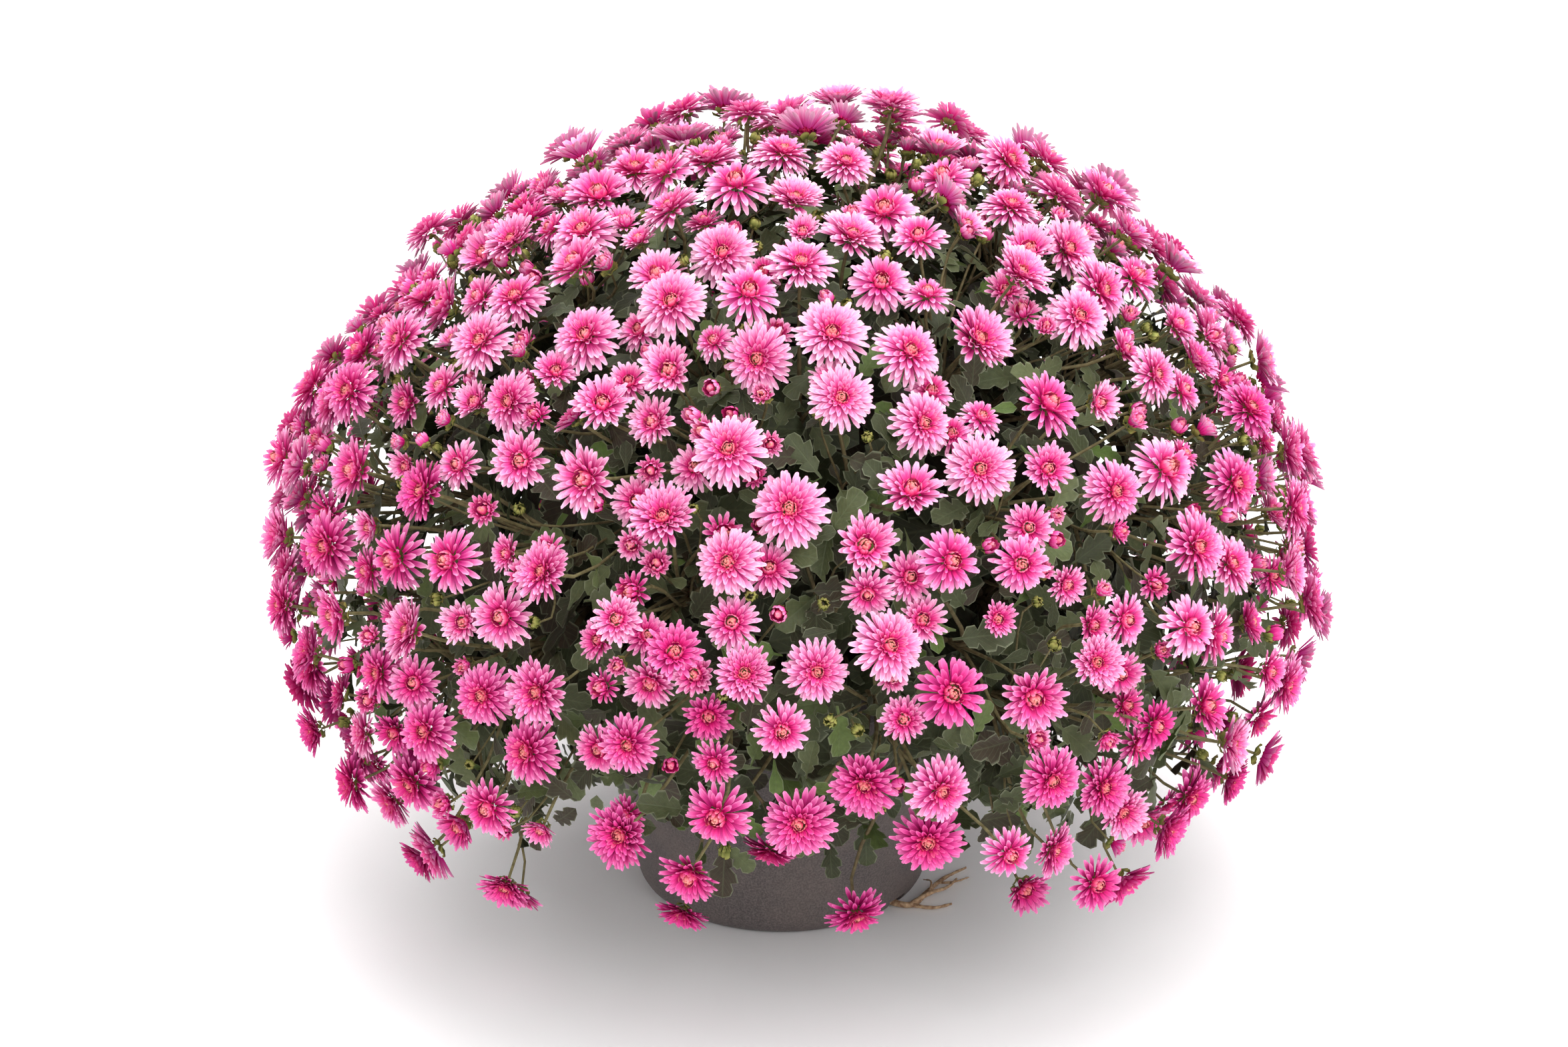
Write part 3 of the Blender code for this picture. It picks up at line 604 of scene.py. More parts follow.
def head_of_florets(rings, seed, lift=0.0, uneven=4.0):
    """Joins rings of florets and the green cup under them into one head of unit radius"""
    rng = random.Random(seed)
    points, faces, marks = [], [], []
    for strip, count, length, width, rise, curl, cup, out, up, layer in rings:
        start = rng.uniform(0, tau)
        raised = lift * max(0.0, LIFT_BELOW - layer)
        for step in range(count):
            turn = start + tau * (step + rng.uniform(-FLORET_SPIN, FLORET_SPIN)) / count
            swing = rng.gauss(0, uneven) + raised
            petal = floret(strip, length * rng.uniform(*FLORET_LENGTHS),
                           width * rng.uniform(*FLORET_WIDTHS), radians(rise + swing),
                           radians(curl + swing * CURL_FOLLOWS), cup, out, up)
            petal[:, 2] += petal[:, 1] * rng.gauss(0, FLORET_TILT)
            spun = np.stack((petal[:, 0] * cos(turn) - petal[:, 1] * sin(turn),
                             petal[:, 0] * sin(turn) + petal[:, 1] * cos(turn),
                             petal[:, 2]), axis=1)
            quads = strip[3][:, ::-1] if curl > INCURVED or layer >= GREEN else strip[3]
            faces.append(quads + sum(len(part) for part in points))
            points.append(spun)
            shade = np.full(len(spun), layer + rng.uniform(-LAYER_JITTER, LAYER_JITTER))
            marks.append(np.stack((strip[2], shade, strip[0]), axis=1))
    return np.concatenate(points), np.concatenate(faces), np.concatenate(marks)


# Each ring: strip, count, length, width, angle at foot and tip, cup, foot out and up, layer
OPEN_RINGS = (
    (STRAP, 23, 0.97, 0.162, -2, -14, 0.60, 0.05, -0.03, 0.00),
    (STRAP, 21, 0.91, 0.162, 8, -3, 0.62, 0.05, -0.01, 0.10),
    (STRAP, 19, 0.82, 0.155, 19, 10, 0.65, 0.05, 0.02, 0.24),
    (STRAP, 17, 0.70, 0.147, 31, 27, 0.70, 0.05, 0.04, 0.40),
    (STRAP, 15, 0.58, 0.134, 42, 50, 0.80, 0.06, 0.05, 0.56),
    (STRAP, 14, 0.46, 0.120, 46, 68, 0.75, 0.10, 0.05, 0.66),
    (HOOD, 13, 0.33, 0.104, 52, 138, 0.60, 0.17, 0.05, 0.80),
    (HOOD, 9, 0.31, 0.096, 58, 140, 0.60, 0.11, 0.09, 0.90),
    (STRAP, 6, 0.28, 0.090, 64, 142, 0.60, 0.05, 0.12, 1.02),
    (STRAP, 7, 0.34, 0.240, -6, 58, -0.25, 0.02, -0.16, GREEN),
)
YOUNG_RINGS = (
    (STRAP, 18, 0.97, 0.172, 2, -9, 0.60, 0.05, -0.03, 0.02),
    (STRAP, 16, 0.87, 0.168, 14, 4, 0.62, 0.05, -0.01, 0.16),
    (STRAP, 14, 0.75, 0.160, 28, 24, 0.66, 0.06, 0.02, 0.36),
    (STRAP, 13, 0.62, 0.142, 38, 60, 0.70, 0.11, 0.03, 0.54),
    (HOOD, 13, 0.44, 0.128, 50, 134, 0.60, 0.20, 0.03, 0.72),
    (HOOD, 9, 0.43, 0.118, 56, 138, 0.60, 0.12, 0.08, 0.86),
    (STRAP, 6, 0.38, 0.110, 62, 142, 0.60, 0.06, 0.12, 1.00),
    (STRAP, 7, 0.40, 0.270, -4, 62, -0.25, 0.02, -0.18, GREEN),
)
HALF_RINGS = (
    (STRAP, 14, 0.98, 0.225, 22, 12, 0.65, 0.08, -0.04, 0.12),
    (STRAP, 13, 0.94, 0.210, 40, 48, 0.70, 0.10, -0.02, 0.34),
    (HOOD, 12, 0.96, 0.205, 28, 112, 0.60, 0.14, 0.00, 0.56),
    (HOOD, 9, 1.04, 0.190, 36, 138, 0.60, 0.09, 0.03, 0.74),
    (STRAP, 6, 0.98, 0.170, 48, 148, 0.60, 0.05, 0.06, 0.90),
    (STRAP, 7, 0.62, 0.420, 0, 78, -0.25, 0.02, -0.24, GREEN),
)
OPENING_RINGS = (
    (HOOD, 11, 2.20, 0.560, 20, 128, 0.50, 0.12, -0.86, 0.52),
    (HOOD, 7, 2.00, 0.480, 42, 146, 0.60, 0.10, -0.70, 0.74),
    (STRAP, 9, 1.25, 0.560, 8, 96, -0.30, 0.12, -0.98, GREEN),
    (STRAP, 7, 0.75, 0.520, 2, 78, -0.30, 0.10, -1.05, GREEN + 0.2),
)
CLOSED_RINGS = (
    (HOOD, 9, 2.15, 0.640, 20, 142, -0.35, 0.12, -0.86, GREEN + 0.6),
    (STRAP, 8, 1.35, 0.560, 10, 102, -0.35, 0.12, -0.95, GREEN + 0.2),
    (STRAP, 7, 0.80, 0.500, 4, 82, -0.35, 0.10, -1.02, GREEN),
)
OPEN_HEADS = [head_of_florets(OPEN_RINGS, seed, lift)
              for seed, lift in ((1, -6), (2, 0), (3, 12), (4, 26), (5, 44))]
YOUNG_HEADS = [head_of_florets(YOUNG_RINGS, seed, lift)
               for seed, lift in ((6, -10), (7, 10), (8, 35), (9, 60))]
HALF_HEADS = [head_of_florets(HALF_RINGS, seed, lift)
              for seed, lift in ((10, 0), (11, 30), (12, 60))]
OPENING_HEADS = [head_of_florets(OPENING_RINGS, seed) for seed in (13, 14)]
CLOSED_HEADS = [head_of_florets(CLOSED_RINGS, seed) for seed in (15, 16)]

# Heads in the gaps: kind, how many, smallest and largest radius, least and most depth
GAP_HEADS = (
    (YOUNG_HEADS, 178, 0.0125, 0.0168, 0.004, 0.017),
    (HALF_HEADS, 155, 0.0085, 0.0120, 0.000, 0.016),
    (OPENING_HEADS, 90, 0.0046, 0.0060, 0.000, 0.014),
    (CLOSED_HEADS, 135, 0.0032, 0.0044, 0.000, 0.018),
)
GAP_STEPS = 3200
GAP_LOWEST = LOWEST_WAY * 0.96
GAP_CLEAR = 0.74
GAP_SWAY = 0.24
LOW_MARGIN = 0.006

# They stand in patches about 70 mm wide and thin out towards the foot of the head
PATCHES = 15.0
PATCH_BARE, PATCH_FULL = -0.40, 0.30
SPARSE_BELOW = 0.38
SPARSE_POWER = 2.0
SPARSE_TOP = 0.7

# How a head's size, facing and tone follow its height. The tone rises with height, so high heads are drawn
# paler and low ones deeper magenta: painted light above and painted shade below, with a random jitter of
# each head's own
YOUNG_SHARE, YOUNG_BELOW = 0.38, 0.0150
SPREAD_LOW, SPREAD_HIGH = 1.03, 1.12
TURNED_UP, TURNED_OUT = 0.50, 0.80
TONE_FOOT, TONE_RISE = 0.07, 0.36
LOW_SHADED_TONE, LIT_TONE_GAIN, TONE_JITTER = 0.12, 0.80, 0.18
CAD_LOW, CAD_HIGH = np.array(cad_box[0]), np.array(cad_box[1])

# Drooping side shoots round the pot's rim, and the buds at their ends
SKIRT_SHOOTS = 52
SKIRT_JITTER = 0.4
SKIRT_START = (0.146, 0.212)
SKIRT_REACH = (0.152, 0.205)
SKIRT_HEIGHTS = (0.104, 0.160)
SKIRT_DROOP = 0.3
SKIRT_BUD_SHARE = 0.6
SKIRT_BUDS = ((CLOSED_HEADS, 0.0040), (CLOSED_HEADS, 0.0046), (OPENING_HEADS, 0.0056))
BUD_NECK = 0.9
BEND = 0.36


def height_share(place):
    """0 among the lowest blooms, 1 among the highest"""
    return max(0.0, min(1.0, (place[2] - TONE_FOOT) / TONE_RISE))


def to_light(facing, place):
    """Turns a low head up to the light and a high one outwards"""
    return unit(facing + UP * (TURNED_UP - TURNED_OUT * height_share(place)))


def gap_heads(rng):
    """Smaller heads in the gaps between the open blooms, as (kind, place, facing, radius)"""
    places = [bloom[0] for bloom in BLOOMS]
    radii = [bloom[2] for bloom in BLOOMS]
    found = []
    for kind, left, small, large, shallow, deep in GAP_HEADS:
        ways = list(spiral_ways(GAP_STEPS, GAP_LOWEST))
        rng.shuffle(ways)
        for way in ways:
            place = head_point(way)
            place = place - head_normal(place) * rng.uniform(shallow, deep)
            radius = rng.uniform(small, large)
            gaps = np.linalg.norm(np.array(places) - place, axis=1)
            share = min(SPARSE_TOP, (place[2] / SPARSE_BELOW) ** SPARSE_POWER)
            clear = (gaps > (np.array(radii) + radius) * GAP_CLEAR).all() and rng.random() < share
            clear = clear and noise.noise(Vector(place * PATCHES)) > rng.uniform(PATCH_BARE, PATCH_FULL)
            if clear and place[2] - radius > bloom_floor(place) - LOW_MARGIN and left > 0:
                facing = to_light(head_normal(place) + wobble(rng, GAP_SWAY), place)
                found.append((kind, place, facing, radius))
                places.append(place)
                radii.append(radius)
                left -= 1
    return found


def facing_frame(facing, spin, size):
    """Rows that turn a head's own axes to a facing, with a spin and a size"""
    across, along = side_frame(facing)
    first = across * cos(spin) + along * sin(spin)
    return np.array((first, np.cross(facing, first), facing)) * size


def kept_inside(shape, turned, place):
    """Moves a head so that its petals stay inside the solids' box"""
    reach = shape @ turned + place
    over = np.maximum(reach.max(axis=0) - CAD_HIGH, 0)
    under = np.maximum(CAD_LOW - reach.min(axis=0), 0)
    return place - over + under


def sorted_heads():
    """All heads by stem, each as (template, turned axes, place, tone, facing, radius)"""
    rng = random.Random(23)
    by_stem = [[] for _ in STEM_WAYS]
    heads = []
    for place, facing, radius in BLOOMS:
        young = rng.random() < YOUNG_SHARE or radius < YOUNG_BELOW
        spread = SPREAD_LOW + (SPREAD_HIGH - SPREAD_LOW) * height_share(place)
        heads.append((YOUNG_HEADS if young else OPEN_HEADS, place, to_light(facing, place),
                      radius * spread))
    for kind, place, facing, radius in heads + gap_heads(rng):
        template = rng.choice(kind)
        turned = facing_frame(facing, rng.uniform(0, tau), radius)
        # Painted light and shade: the tone grows with height, paler on high heads and deeper on low ones;
        # the jitter is each head's own variety
        tone = LOW_SHADED_TONE + LIT_TONE_GAIN * height_share(place) + rng.gauss(0, TONE_JITTER)
        tone = max(0.0, min(1.0, tone))
        stem = nearest_stem(place)
        place = kept_inside(template[0], turned, place)
        by_stem[stem].append((template, turned, place, tone, facing, radius))
    return by_stem


def bent_path(start, start_way, end, end_way, steps):
    """Points of a cubic curve that leaves and arrives along the given ways"""
    reach = np.linalg.norm(end - start) * BEND
    control = (start, start + start_way * reach, end - end_way * reach, end)
    path = []
    for step in range(steps + 1):
        t = step / steps
        weights = ((1 - t) ** 3, 3 * t * (1 - t) ** 2, 3 * t * t * (1 - t), t ** 3)
        path.append(sum(weight * point for weight, point in zip(weights, control)))
    return path


def skirt_shoots(rng):
    """Paths, by stem, of the side shoots that droop round the pot's rim"""
    paths = [[] for _ in STEM_WAYS]
    for step in range(SKIRT_SHOOTS):
        azimuth = 360 * (step + rng.uniform(-SKIRT_JITTER, SKIRT_JITTER)) / SKIRT_SHOOTS
        start = around_axis(azimuth, *SKIRT_START)
        reach = rng.uniform(*SKIRT_REACH)
        end = around_axis(azimuth + rng.gauss(0, 4), reach, rng.uniform(*SKIRT_HEIGHTS))
        out = unit(start - around_axis(azimuth, 0.0, SKIRT_START[1]))
        paths[nearest_stem(end)].append(bent_path(start, out, end, out * SKIRT_DROOP - UP, 6))
    return paths


def skirt_buds(stem, rng):
    """Green and just opening buds at the ends of a stem's drooping shoots"""
    buds = []
    for path in SKIRT_PATHS[stem]:
        if rng.random() < SKIRT_BUD_SHARE:
            facing = unit(path[-1] - path[-2] + UP * rng.uniform(0.0, 0.006))
            kind, size = rng.choice(SKIRT_BUDS)
            turned = facing_frame(facing, rng.uniform(0, tau), size)
            buds.append((rng.choice(kind), turned, path[-1] + facing * size * BUD_NECK, rng.random()))
    return buds


def copies_to_mesh(name, copies, mark_name):
    """One mesh of many placed copies of (points, faces, marks), each with its own tone"""
    points, faces, marks, tones = [], [], [], []
    start = 0
    for (shape, quads, mark), turned, place, tone in copies:
        points.append(shape @ turned + place)
        faces.append(quads + start)
        marks.append(mark)
        tones.append(np.full(len(shape), tone))
        start += len(shape)
    points, faces = np.concatenate(points), np.concatenate(faces)
    mesh = bpy.data.meshes.new(name)
    mesh.vertices.add(len(points))
    mesh.vertices.foreach_set("co", points.astype(np.float32).ravel())
    mesh.loops.add(faces.size)
    mesh.loops.foreach_set("vertex_index", faces.astype(np.int32).ravel())
    mesh.polygons.add(len(faces))
    mesh.polygons.foreach_set("loop_start", np.arange(0, faces.size, 4, dtype=np.int32))
    mesh.polygons.foreach_set("use_smooth", np.ones(len(faces), dtype=bool))
    mesh.update(calc_edges=True)
    mesh.attributes.new(mark_name, "FLOAT_VECTOR", "POINT").data.foreach_set(
        "vector", np.concatenate(marks).astype(np.float32).ravel())
    mesh.attributes.new("tone", "FLOAT", "POINT").data.foreach_set(
        "value", np.concatenate(tones).astype(np.float32))
    mesh.validate()
    return add_object(name, mesh)


# Colours from a floret's base to its tip, then from its midline to its edge
# The pale ramp is for high heads and the deep one for low heads: lit and shaded copies of the petal colour,
# painted light and shade mixed with each head's random tone
PETAL_PALE_AND_LIT = ((0.0, "#AC0868"), (0.38, "#D82A92"), (0.64, "#EC68B4"), (0.84, "#F7A8D2"),
              (1.0, "#FBCCE2"))
PETAL_DEEP_AND_SHADED = ((0.0, "#880446"), (0.36, "#B4186E"), (0.64, "#D23A8E"), (0.84, "#E472AE"),
              (1.0, "#F2A4CC"))
PETAL_INNER = ((0.0, "#A0064A"), (0.45, "#D61E7C"), (0.80, "#EE4EA0"), (1.0, "#F89ACA"))
PETAL_EYE = ((0.0, "#AC0A4C"), (0.42, "#DE326E"), (0.70, "#EE6A80"), (1.0, "#F9BAA2"))
BRACT_GREEN = ((0.0, "#39401F"), (0.5, "#6B7238"), (0.85, "#9A9A55"), (1.0, "#6A5A34"))
PETAL_GROOVES = ((0.0, "#DC92C8"), (0.22, "#FFFFFF"), (0.42, "#E8B4DA"), (0.62, "#FFFFFF"))
# How much paler the petals of the palest heads are: painted light, which slides the high heads' petals
# towards their pale tips
LIT_PALING = 0.26


def petal_material():
    """Ray florets: thin soft matt tissue, pale pink at the tip and edges, magenta at the base,
    hot pink to coral and peach in the eye; the bracts under a head and on a bud are green.
    Higher heads are drawn paler and lower ones deeper magenta by their tone: painted light
    and shade, mixed with each head's own random tone"""
    material, shader, node = start_material("ray floret tissue", 0.62, 0.12)
    mark = node("Attribute", {"attribute_name": "petal"})
    split = node("SeparateXYZ", links={"Vector": (mark, "Vector")})
    tone = node("Attribute", {"attribute_name": "tone"})
    # Painted light: a high tone slides the petal ramp towards its pale tip
    lit_paled = node("Math", {"operation": "MULTIPLY_ADD", 1: LIT_PALING}, {0: (tone, "Fac"), 2: (split, "X")})
    along = node("MapRange",
                 {"From Min": LIT_PALING / 2, "From Max": 1 + LIT_PALING / 2}, {"Value": (lit_paled, "Value")})
    deep, pale, inner = [
        node("ValToRGB", {"stops": stops}, {"Fac": (along, "Result")})
        for stops in (PETAL_DEEP_AND_SHADED, PETAL_PALE_AND_LIT, PETAL_INNER)]
    eye, green = [
        node("ValToRGB", {"stops": stops}, {"Fac": (split, "X")})
        for stops in (PETAL_EYE, BRACT_GREEN)]
    colour = (deep, "Color")
    # Painted light and shade: the tone, high on the high heads, blends the deep petal colours into the pale
    # ones
    for layer, source, low, high in ((pale, (tone, "Fac"), 0.05, 0.80),
                                     (inner, (split, "Y"), 0.10, 0.62),
                                     (eye, (split, "Y"), 0.60, 0.88)):
        share = node("MapRange", {"From Min": low, "From Max": high}, {"Value": source})
        blend = node("Mix", {"data_type": "RGBA"},
                     {"Factor": (share, "Result"), "A": colour, "B": (layer, "Color")})
        colour = (blend, "Result")
    side = node("Math", {"operation": "ABSOLUTE"}, {"Value": (split, "Z")})
    groove = node("ValToRGB", {"stops": PETAL_GROOVES}, {"Fac": (side, "Value")})
    grooved = node("Mix", {"data_type": "RGBA", "blend_type": "MULTIPLY", "Factor": 0.55},
                   {"A": colour, "B": (groove, "Color")})
    bract = node("MapRange", {"From Min": 1.3, "From Max": 1.5}, {"Value": (split, "Y")})
    whole = node("Mix", {"data_type": "RGBA"},
                 {"Factor": (bract, "Result"), "A": (grooved, "Result"), "B": (green, "Color")})
    link_to(material, shader, {"Base Color": (whole, "Result")})
    return material


HEADS = sorted_heads()
SKIRT_PATHS = skirt_shoots(random.Random(33))
petals = petal_material()
for stem, heads in enumerate(HEADS):
    copies = [head[:4] for head in heads] + skirt_buds(stem, random.Random(150 + stem))
    blooms = copies_to_mesh(f"blooms_{stem + 1:02d}", copies, "petal")
    blooms.data.materials.append(petals)
    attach(blooms, "root")
    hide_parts(f"flowering_stem_{stem + 1:02d}")


# Stems, side branches and stalks: woody brown stems from the peat, olive branches, and a
# slim stalk under every head. Each is a tapered tube along a bent path, bevelled from a curve.
STEM_RADIUS = 0.0042
STEM_SUNK = 0.012
STEM_TAPER = 0.75
BRANCH_RADIUS = 0.0019
BRANCH_TAPER = (1.25, 0.75)
BRANCH_START, LOWEST_BRANCH = 0.42, 0.205
FORK_STEPS = 190
FORK_SHARES = (0.58, 0.72)
FORK_ABOVE_EDGE = 0.03
FORK_CLEAR, FORK_ABOVE = 0.14, 0.19
# Stalks of open heads, of buds and of the smallest buds, and the head radii that part them
STALK_RADII = (0.00095, 0.00075, 0.0006)
STALK_HEADS = (0.0105, 0.0046)
STALK_TAPER, SHOOT_TAPER = 1.45, 1.3
STALK_KINK = 0.22
OPEN_ABOVE, OPEN_NECK = 0.0078, 0.10
# Streaks in the stem skin are about 4 mm
SKIN_SCALE = 260.0


def tubes(name, paths, roundness):
    """Mesh of tubes through (points, first radius, last radius), bevelled from one curve"""
    curve = start_tube(name, roundness)
    for points, first, last in paths:
        spline = curve.splines.new("POLY")
        spline.points.add(len(points) - 1)
        for spot, point, share in zip(spline.points, points, np.linspace(0, 1, len(points))):
            spot.co = (*point, 1.0)
            spot.radius = first + (last - first) * share
    select_only(add_object(name, curve))
    bpy.ops.object.convert(target="MESH")
    bpy.ops.object.shade_smooth()
    return bpy.context.object


def fork_points(stem, rng):
    """Points inside a stem's cone where its side branches end and the stalks begin"""
    forks = []
    for way in spiral_ways(FORK_STEPS, LOWEST_WAY * 0.9):
        point = head_point(way, rng.uniform(*FORK_SHARES))
        if nearest_stem(point) == stem and point[2] > lower_edge(point) + FORK_ABOVE_EDGE:
            if hypot(point[0], point[1]) > FORK_CLEAR or point[2] > FORK_ABOVE:
                forks.append(point)
    return forks


STALK_PATHS = []


def make_stalks(stem, rng):
    """Tubes of one leafy stem: its trunk, its branches and a stalk to each of its heads"""
    way = STEM_WAYS[stem]
    trunk_top = head_point(way, BRANCH_START)
    trunk_top[2] = max(trunk_top[2], LOWEST_BRANCH)
    trunk = bent_path(STEM_FEET[stem] - UP * STEM_SUNK, UP, trunk_top, unit(way + UP * 0.2), 9)
    woody = [(trunk, STEM_RADIUS, STEM_RADIUS * STEM_TAPER)]
    forks = fork_points(stem, rng)
    for fork in forks:
        path = bent_path(trunk_top, unit(way + UP * 0.1), fork, unit(fork - HEAD_CENTRE), 6)
        woody.append((path, BRANCH_RADIUS * BRANCH_TAPER[0], BRANCH_RADIUS * BRANCH_TAPER[1]))
    slim = []
    STALK_PATHS.append([])
    for _, _, place, _, facing, radius in HEADS[stem]:
        fork = forks[int(np.argmin([np.linalg.norm(fork - place) for fork in forks]))]
        thick = STALK_RADII[sum(radius <= size for size in STALK_HEADS)]
        neck = place - facing * radius * (OPEN_NECK if radius > OPEN_ABOVE else BUD_NECK)
        kink = wobble(rng, STALK_KINK)
        leaving = unit(unit(fork - HEAD_CENTRE) + kink)
        path = bent_path(fork, leaving, neck, unit(facing + kink * 0.4), 6)
        slim.append((path, thick * STALK_TAPER, thick))
        STALK_PATHS[-1].append(path)
    slim += [(path, STALK_RADII[0] * SHOOT_TAPER, STALK_RADII[1]) for path in SKIRT_PATHS[stem]]
    branches = tubes(f"stalks_{stem + 1:02d}", woody, 2)
    stalks = tubes("slim", slim, 0)
    select_only(branches, stalks)
    bpy.ops.object.join()
    return branches


def stalk_material():
    """Stem skin: downy and olive-green near the blooms, dull brown and woody near the crown"""
    material, shader, node = start_material("downy stem skin", 0.7, 0.25)
    place = node("TexCoord")
    away = node("VectorMath", {"operation": "DISTANCE", 1: HEAD_CENTRE}, {0: (place, "Object")})
    age = node("MapRange", {"From Min": 0.10, "From Max": 0.31}, {"Value": (away, "Value")})
    skin = node("ValToRGB", {"stops": ((0.0, "#4C3C2B"), (0.45, "#68593F"), (1.0, "#88835B"))},
                {"Fac": (age, "Result")})
    streak = node("TexNoise", {"Scale": SKIN_SCALE, "Detail": 5.0}, {"Vector": (place, "Object")})
    shade = node("ValToRGB", {"stops": ((0.30, "#8A7C66"), (0.70, "#FFFFFF"))}, {"Fac": (streak, "Fac")})
    down = node("Mix", {"data_type": "RGBA", "blend_type": "MULTIPLY", "Factor": 0.7},
                {"A": (skin, "Color"), "B": (shade, "Color")})
    bump = node("Bump", {"Strength": 0.25, "Distance": 0.0004}, {"Height": (streak, "Fac")})
    link_to(material, shader, {"Base Color": (down, "Result"), "Normal": (bump, "Normal")})
    return material


stalk_skin = stalk_material()
for stem in range(len(STEM_WAYS)):
    stalks = make_stalks(stem, random.Random(40 + stem))
    stalks.data.materials.append(stalk_skin)
    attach(stalks, "root")
    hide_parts(f"flowering_stem_{stem + 1:02d}")


# Leaves: lobed, felted, dark grey-green above with a thin pale rim. One strip is drawn out
# into rounded lobes, folded along its midrib and arched; the small ones on the stalks are spoons.
LOBED_ROWS = (
    (0.00, 0.020, 0.00), (0.17, 0.026, 0.00), (0.26, 0.160, 0.00), (0.36, 0.205, 0.03),
    (0.42, 0.120, 0.00), (0.51, 0.255, 0.02), (0.62, 0.285, 0.06), (0.69, 0.165, 0.02),
    (0.80, 0.230, 0.03), (0.91, 0.170, 0.04), (1.00, 0.0036, 0.00),
)
SPOON_ROWS = ((0.00, 0.025, 0.0), (0.30, 0.070, 0.0), (0.60, 0.200, 0.0), (0.84, 0.190, 0.01),
              (1.00, 0.0049, 0.0))
# Leaf colours by tone, from brown through grey-green to green: some leaves are brown of their own, and the
# brown end is also painted shade for the leaves deep inside
LEAF_GREENS = ((0.0, "#33281A"), (0.30, "#353A23"), (0.60, "#434A2D"), (0.86, "#59613D"),
               (1.0, "#526A2B"))
LOBED_ABOVE = 0.021
VEIN_SLANT = -0.42
VEIN_SPACING = 0.06
# Layers: how many, least and most share of the head's radius, smallest and largest leaf, palest tone. The
# palest tone is lower in the deeper layers, so the leaves inside are darker and browner: painted shade
LEAF_LAYERS = (
    (3000, 0.70, 0.925, 0.016, 0.033, 1.0),
    (760, 0.48, 0.74, 0.038, 0.058, 0.6),
    (260, 0.24, 0.50, 0.055, 0.078, 0.2),
)
LEAF_ABOVE_EDGE = 0.008
POT_CLEAR = 0.128
STALK_LEAF_STEPS, STALK_LEAF_SHARE = (2, 3, 4), 0.60
STALK_LEAF_SIZES = (0.010, 0.019)
SKIRT_LEAF_SIZES = (0.019, 0.032)
# Real hairs are too fine to show, so the felt is drawn as tufts 2.4 mm apart
FELT_SCALE = 420.0


def leaf_shape(strip, fold, arch, wave, seed):
    """Points, faces and marks of one leaf of unit length, its face to +Z"""
    rng = random.Random(seed)
    aside, across, reach, quads = strip
    edge = np.abs(aside)
    wide = across * np.array([rng.uniform(0.88, 1.12) for _ in across])
    ripple = np.array([rng.uniform(-wave, wave) for _ in across]) * edge
    height = np.abs(wide) * fold - arch * reach ** 2 + ripple
    points = np.stack((reach, -wide, height), axis=1)
    return points, quads, np.stack((reach, wide * 3.2, edge), axis=1)


LOBED_STRIP = shaped_strip(LOBED_ROWS)
SPOON_STRIP = shaped_strip(SPOON_ROWS)
LOBED_LEAVES = [leaf_shape(LOBED_STRIP, fold, arch, 0.035, seed) for seed, fold, arch in (
    (1, 0.45, 0.18), (2, 0.30, 0.30), (3, 0.60, 0.12), (4, 0.20, 0.24), (5, -0.25, 0.20))]
SPOON_LEAVES = [leaf_shape(SPOON_STRIP, fold, arch, 0.02, seed) for seed, fold, arch in (
    (6, 0.35, 0.20), (7, 0.50, 0.10), (8, -0.20, 0.16))]


def leaf_frame(heading, face, size):
    """Rows that turn a leaf's own axes to a heading and a face"""
    heading = unit(heading)
    face = unit(face - heading * (face @ heading))
    return np.array((heading, np.cross(face, heading), face)) * size


def clear_of_pot(point):
    return hypot(point[0], point[1]) > POT_CLEAR or point[2] > POT_HEIGHT + 0.006


def mass_leaves(rng):
    """Leaves of the dense mass under the blooms, and larger ones deep inside it, whose tone is held low so
    that they are darker and browner: painted shade
    """
    leaves = [[] for _ in STEM_WAYS]
    for count, low, high, small, large, depth_shade_cap in LEAF_LAYERS:
        for way in spiral_ways(count, LOWEST_WAY):
            way = unit(way + wobble(rng, 0.03))
            root = head_point(way, low + (high - low) * rng.random() ** 0.6)
            size = rng.uniform(small, large)
            aside = wobble(rng, 1)
            heading = unit(aside - way * (aside @ way)) + way * rng.uniform(-0.1, 0.6) + UP * 0.1
            face = way + UP * 0.4 + wobble(rng, 0.35)
            tip = root + unit(heading) * size
            if min(root[2], tip[2]) > lower_edge(root) + LEAF_ABOVE_EDGE:
                if clear_of_pot(root) and clear_of_pot(tip):
                    kind = LOBED_LEAVES if size > LOBED_ABOVE else SPOON_LEAVES
                    # Painted shade: a deeper layer caps the tone lower, so its leaves are darker and browner
                    leaf = (rng.choice(kind), leaf_frame(heading, face, size), root,
                            rng.random() * depth_shade_cap)
                    leaves[nearest_stem(root)].append(leaf)
    return leaves


def stalk_leaves(stem, rng):
    """Small leaves along the stalks of one stem's heads"""
    leaves = []
    for path in STALK_PATHS[stem]:
        for step in STALK_LEAF_STEPS:
            if rng.random() < STALK_LEAF_SHARE:
                way = unit(path[step + 1] - path[step])
                across, along = side_frame(way)
                turn = rng.uniform(0, tau)
                aside = across * cos(turn) + along * sin(turn)
                heading = way * 0.7 + aside * rng.uniform(0.6, 1.2)
                size = rng.uniform(*STALK_LEAF_SIZES)
                leaves.append((rng.choice(SPOON_LEAVES), leaf_frame(heading, way - aside * 0.6, size),
                               path[step], rng.random()))
    return leaves


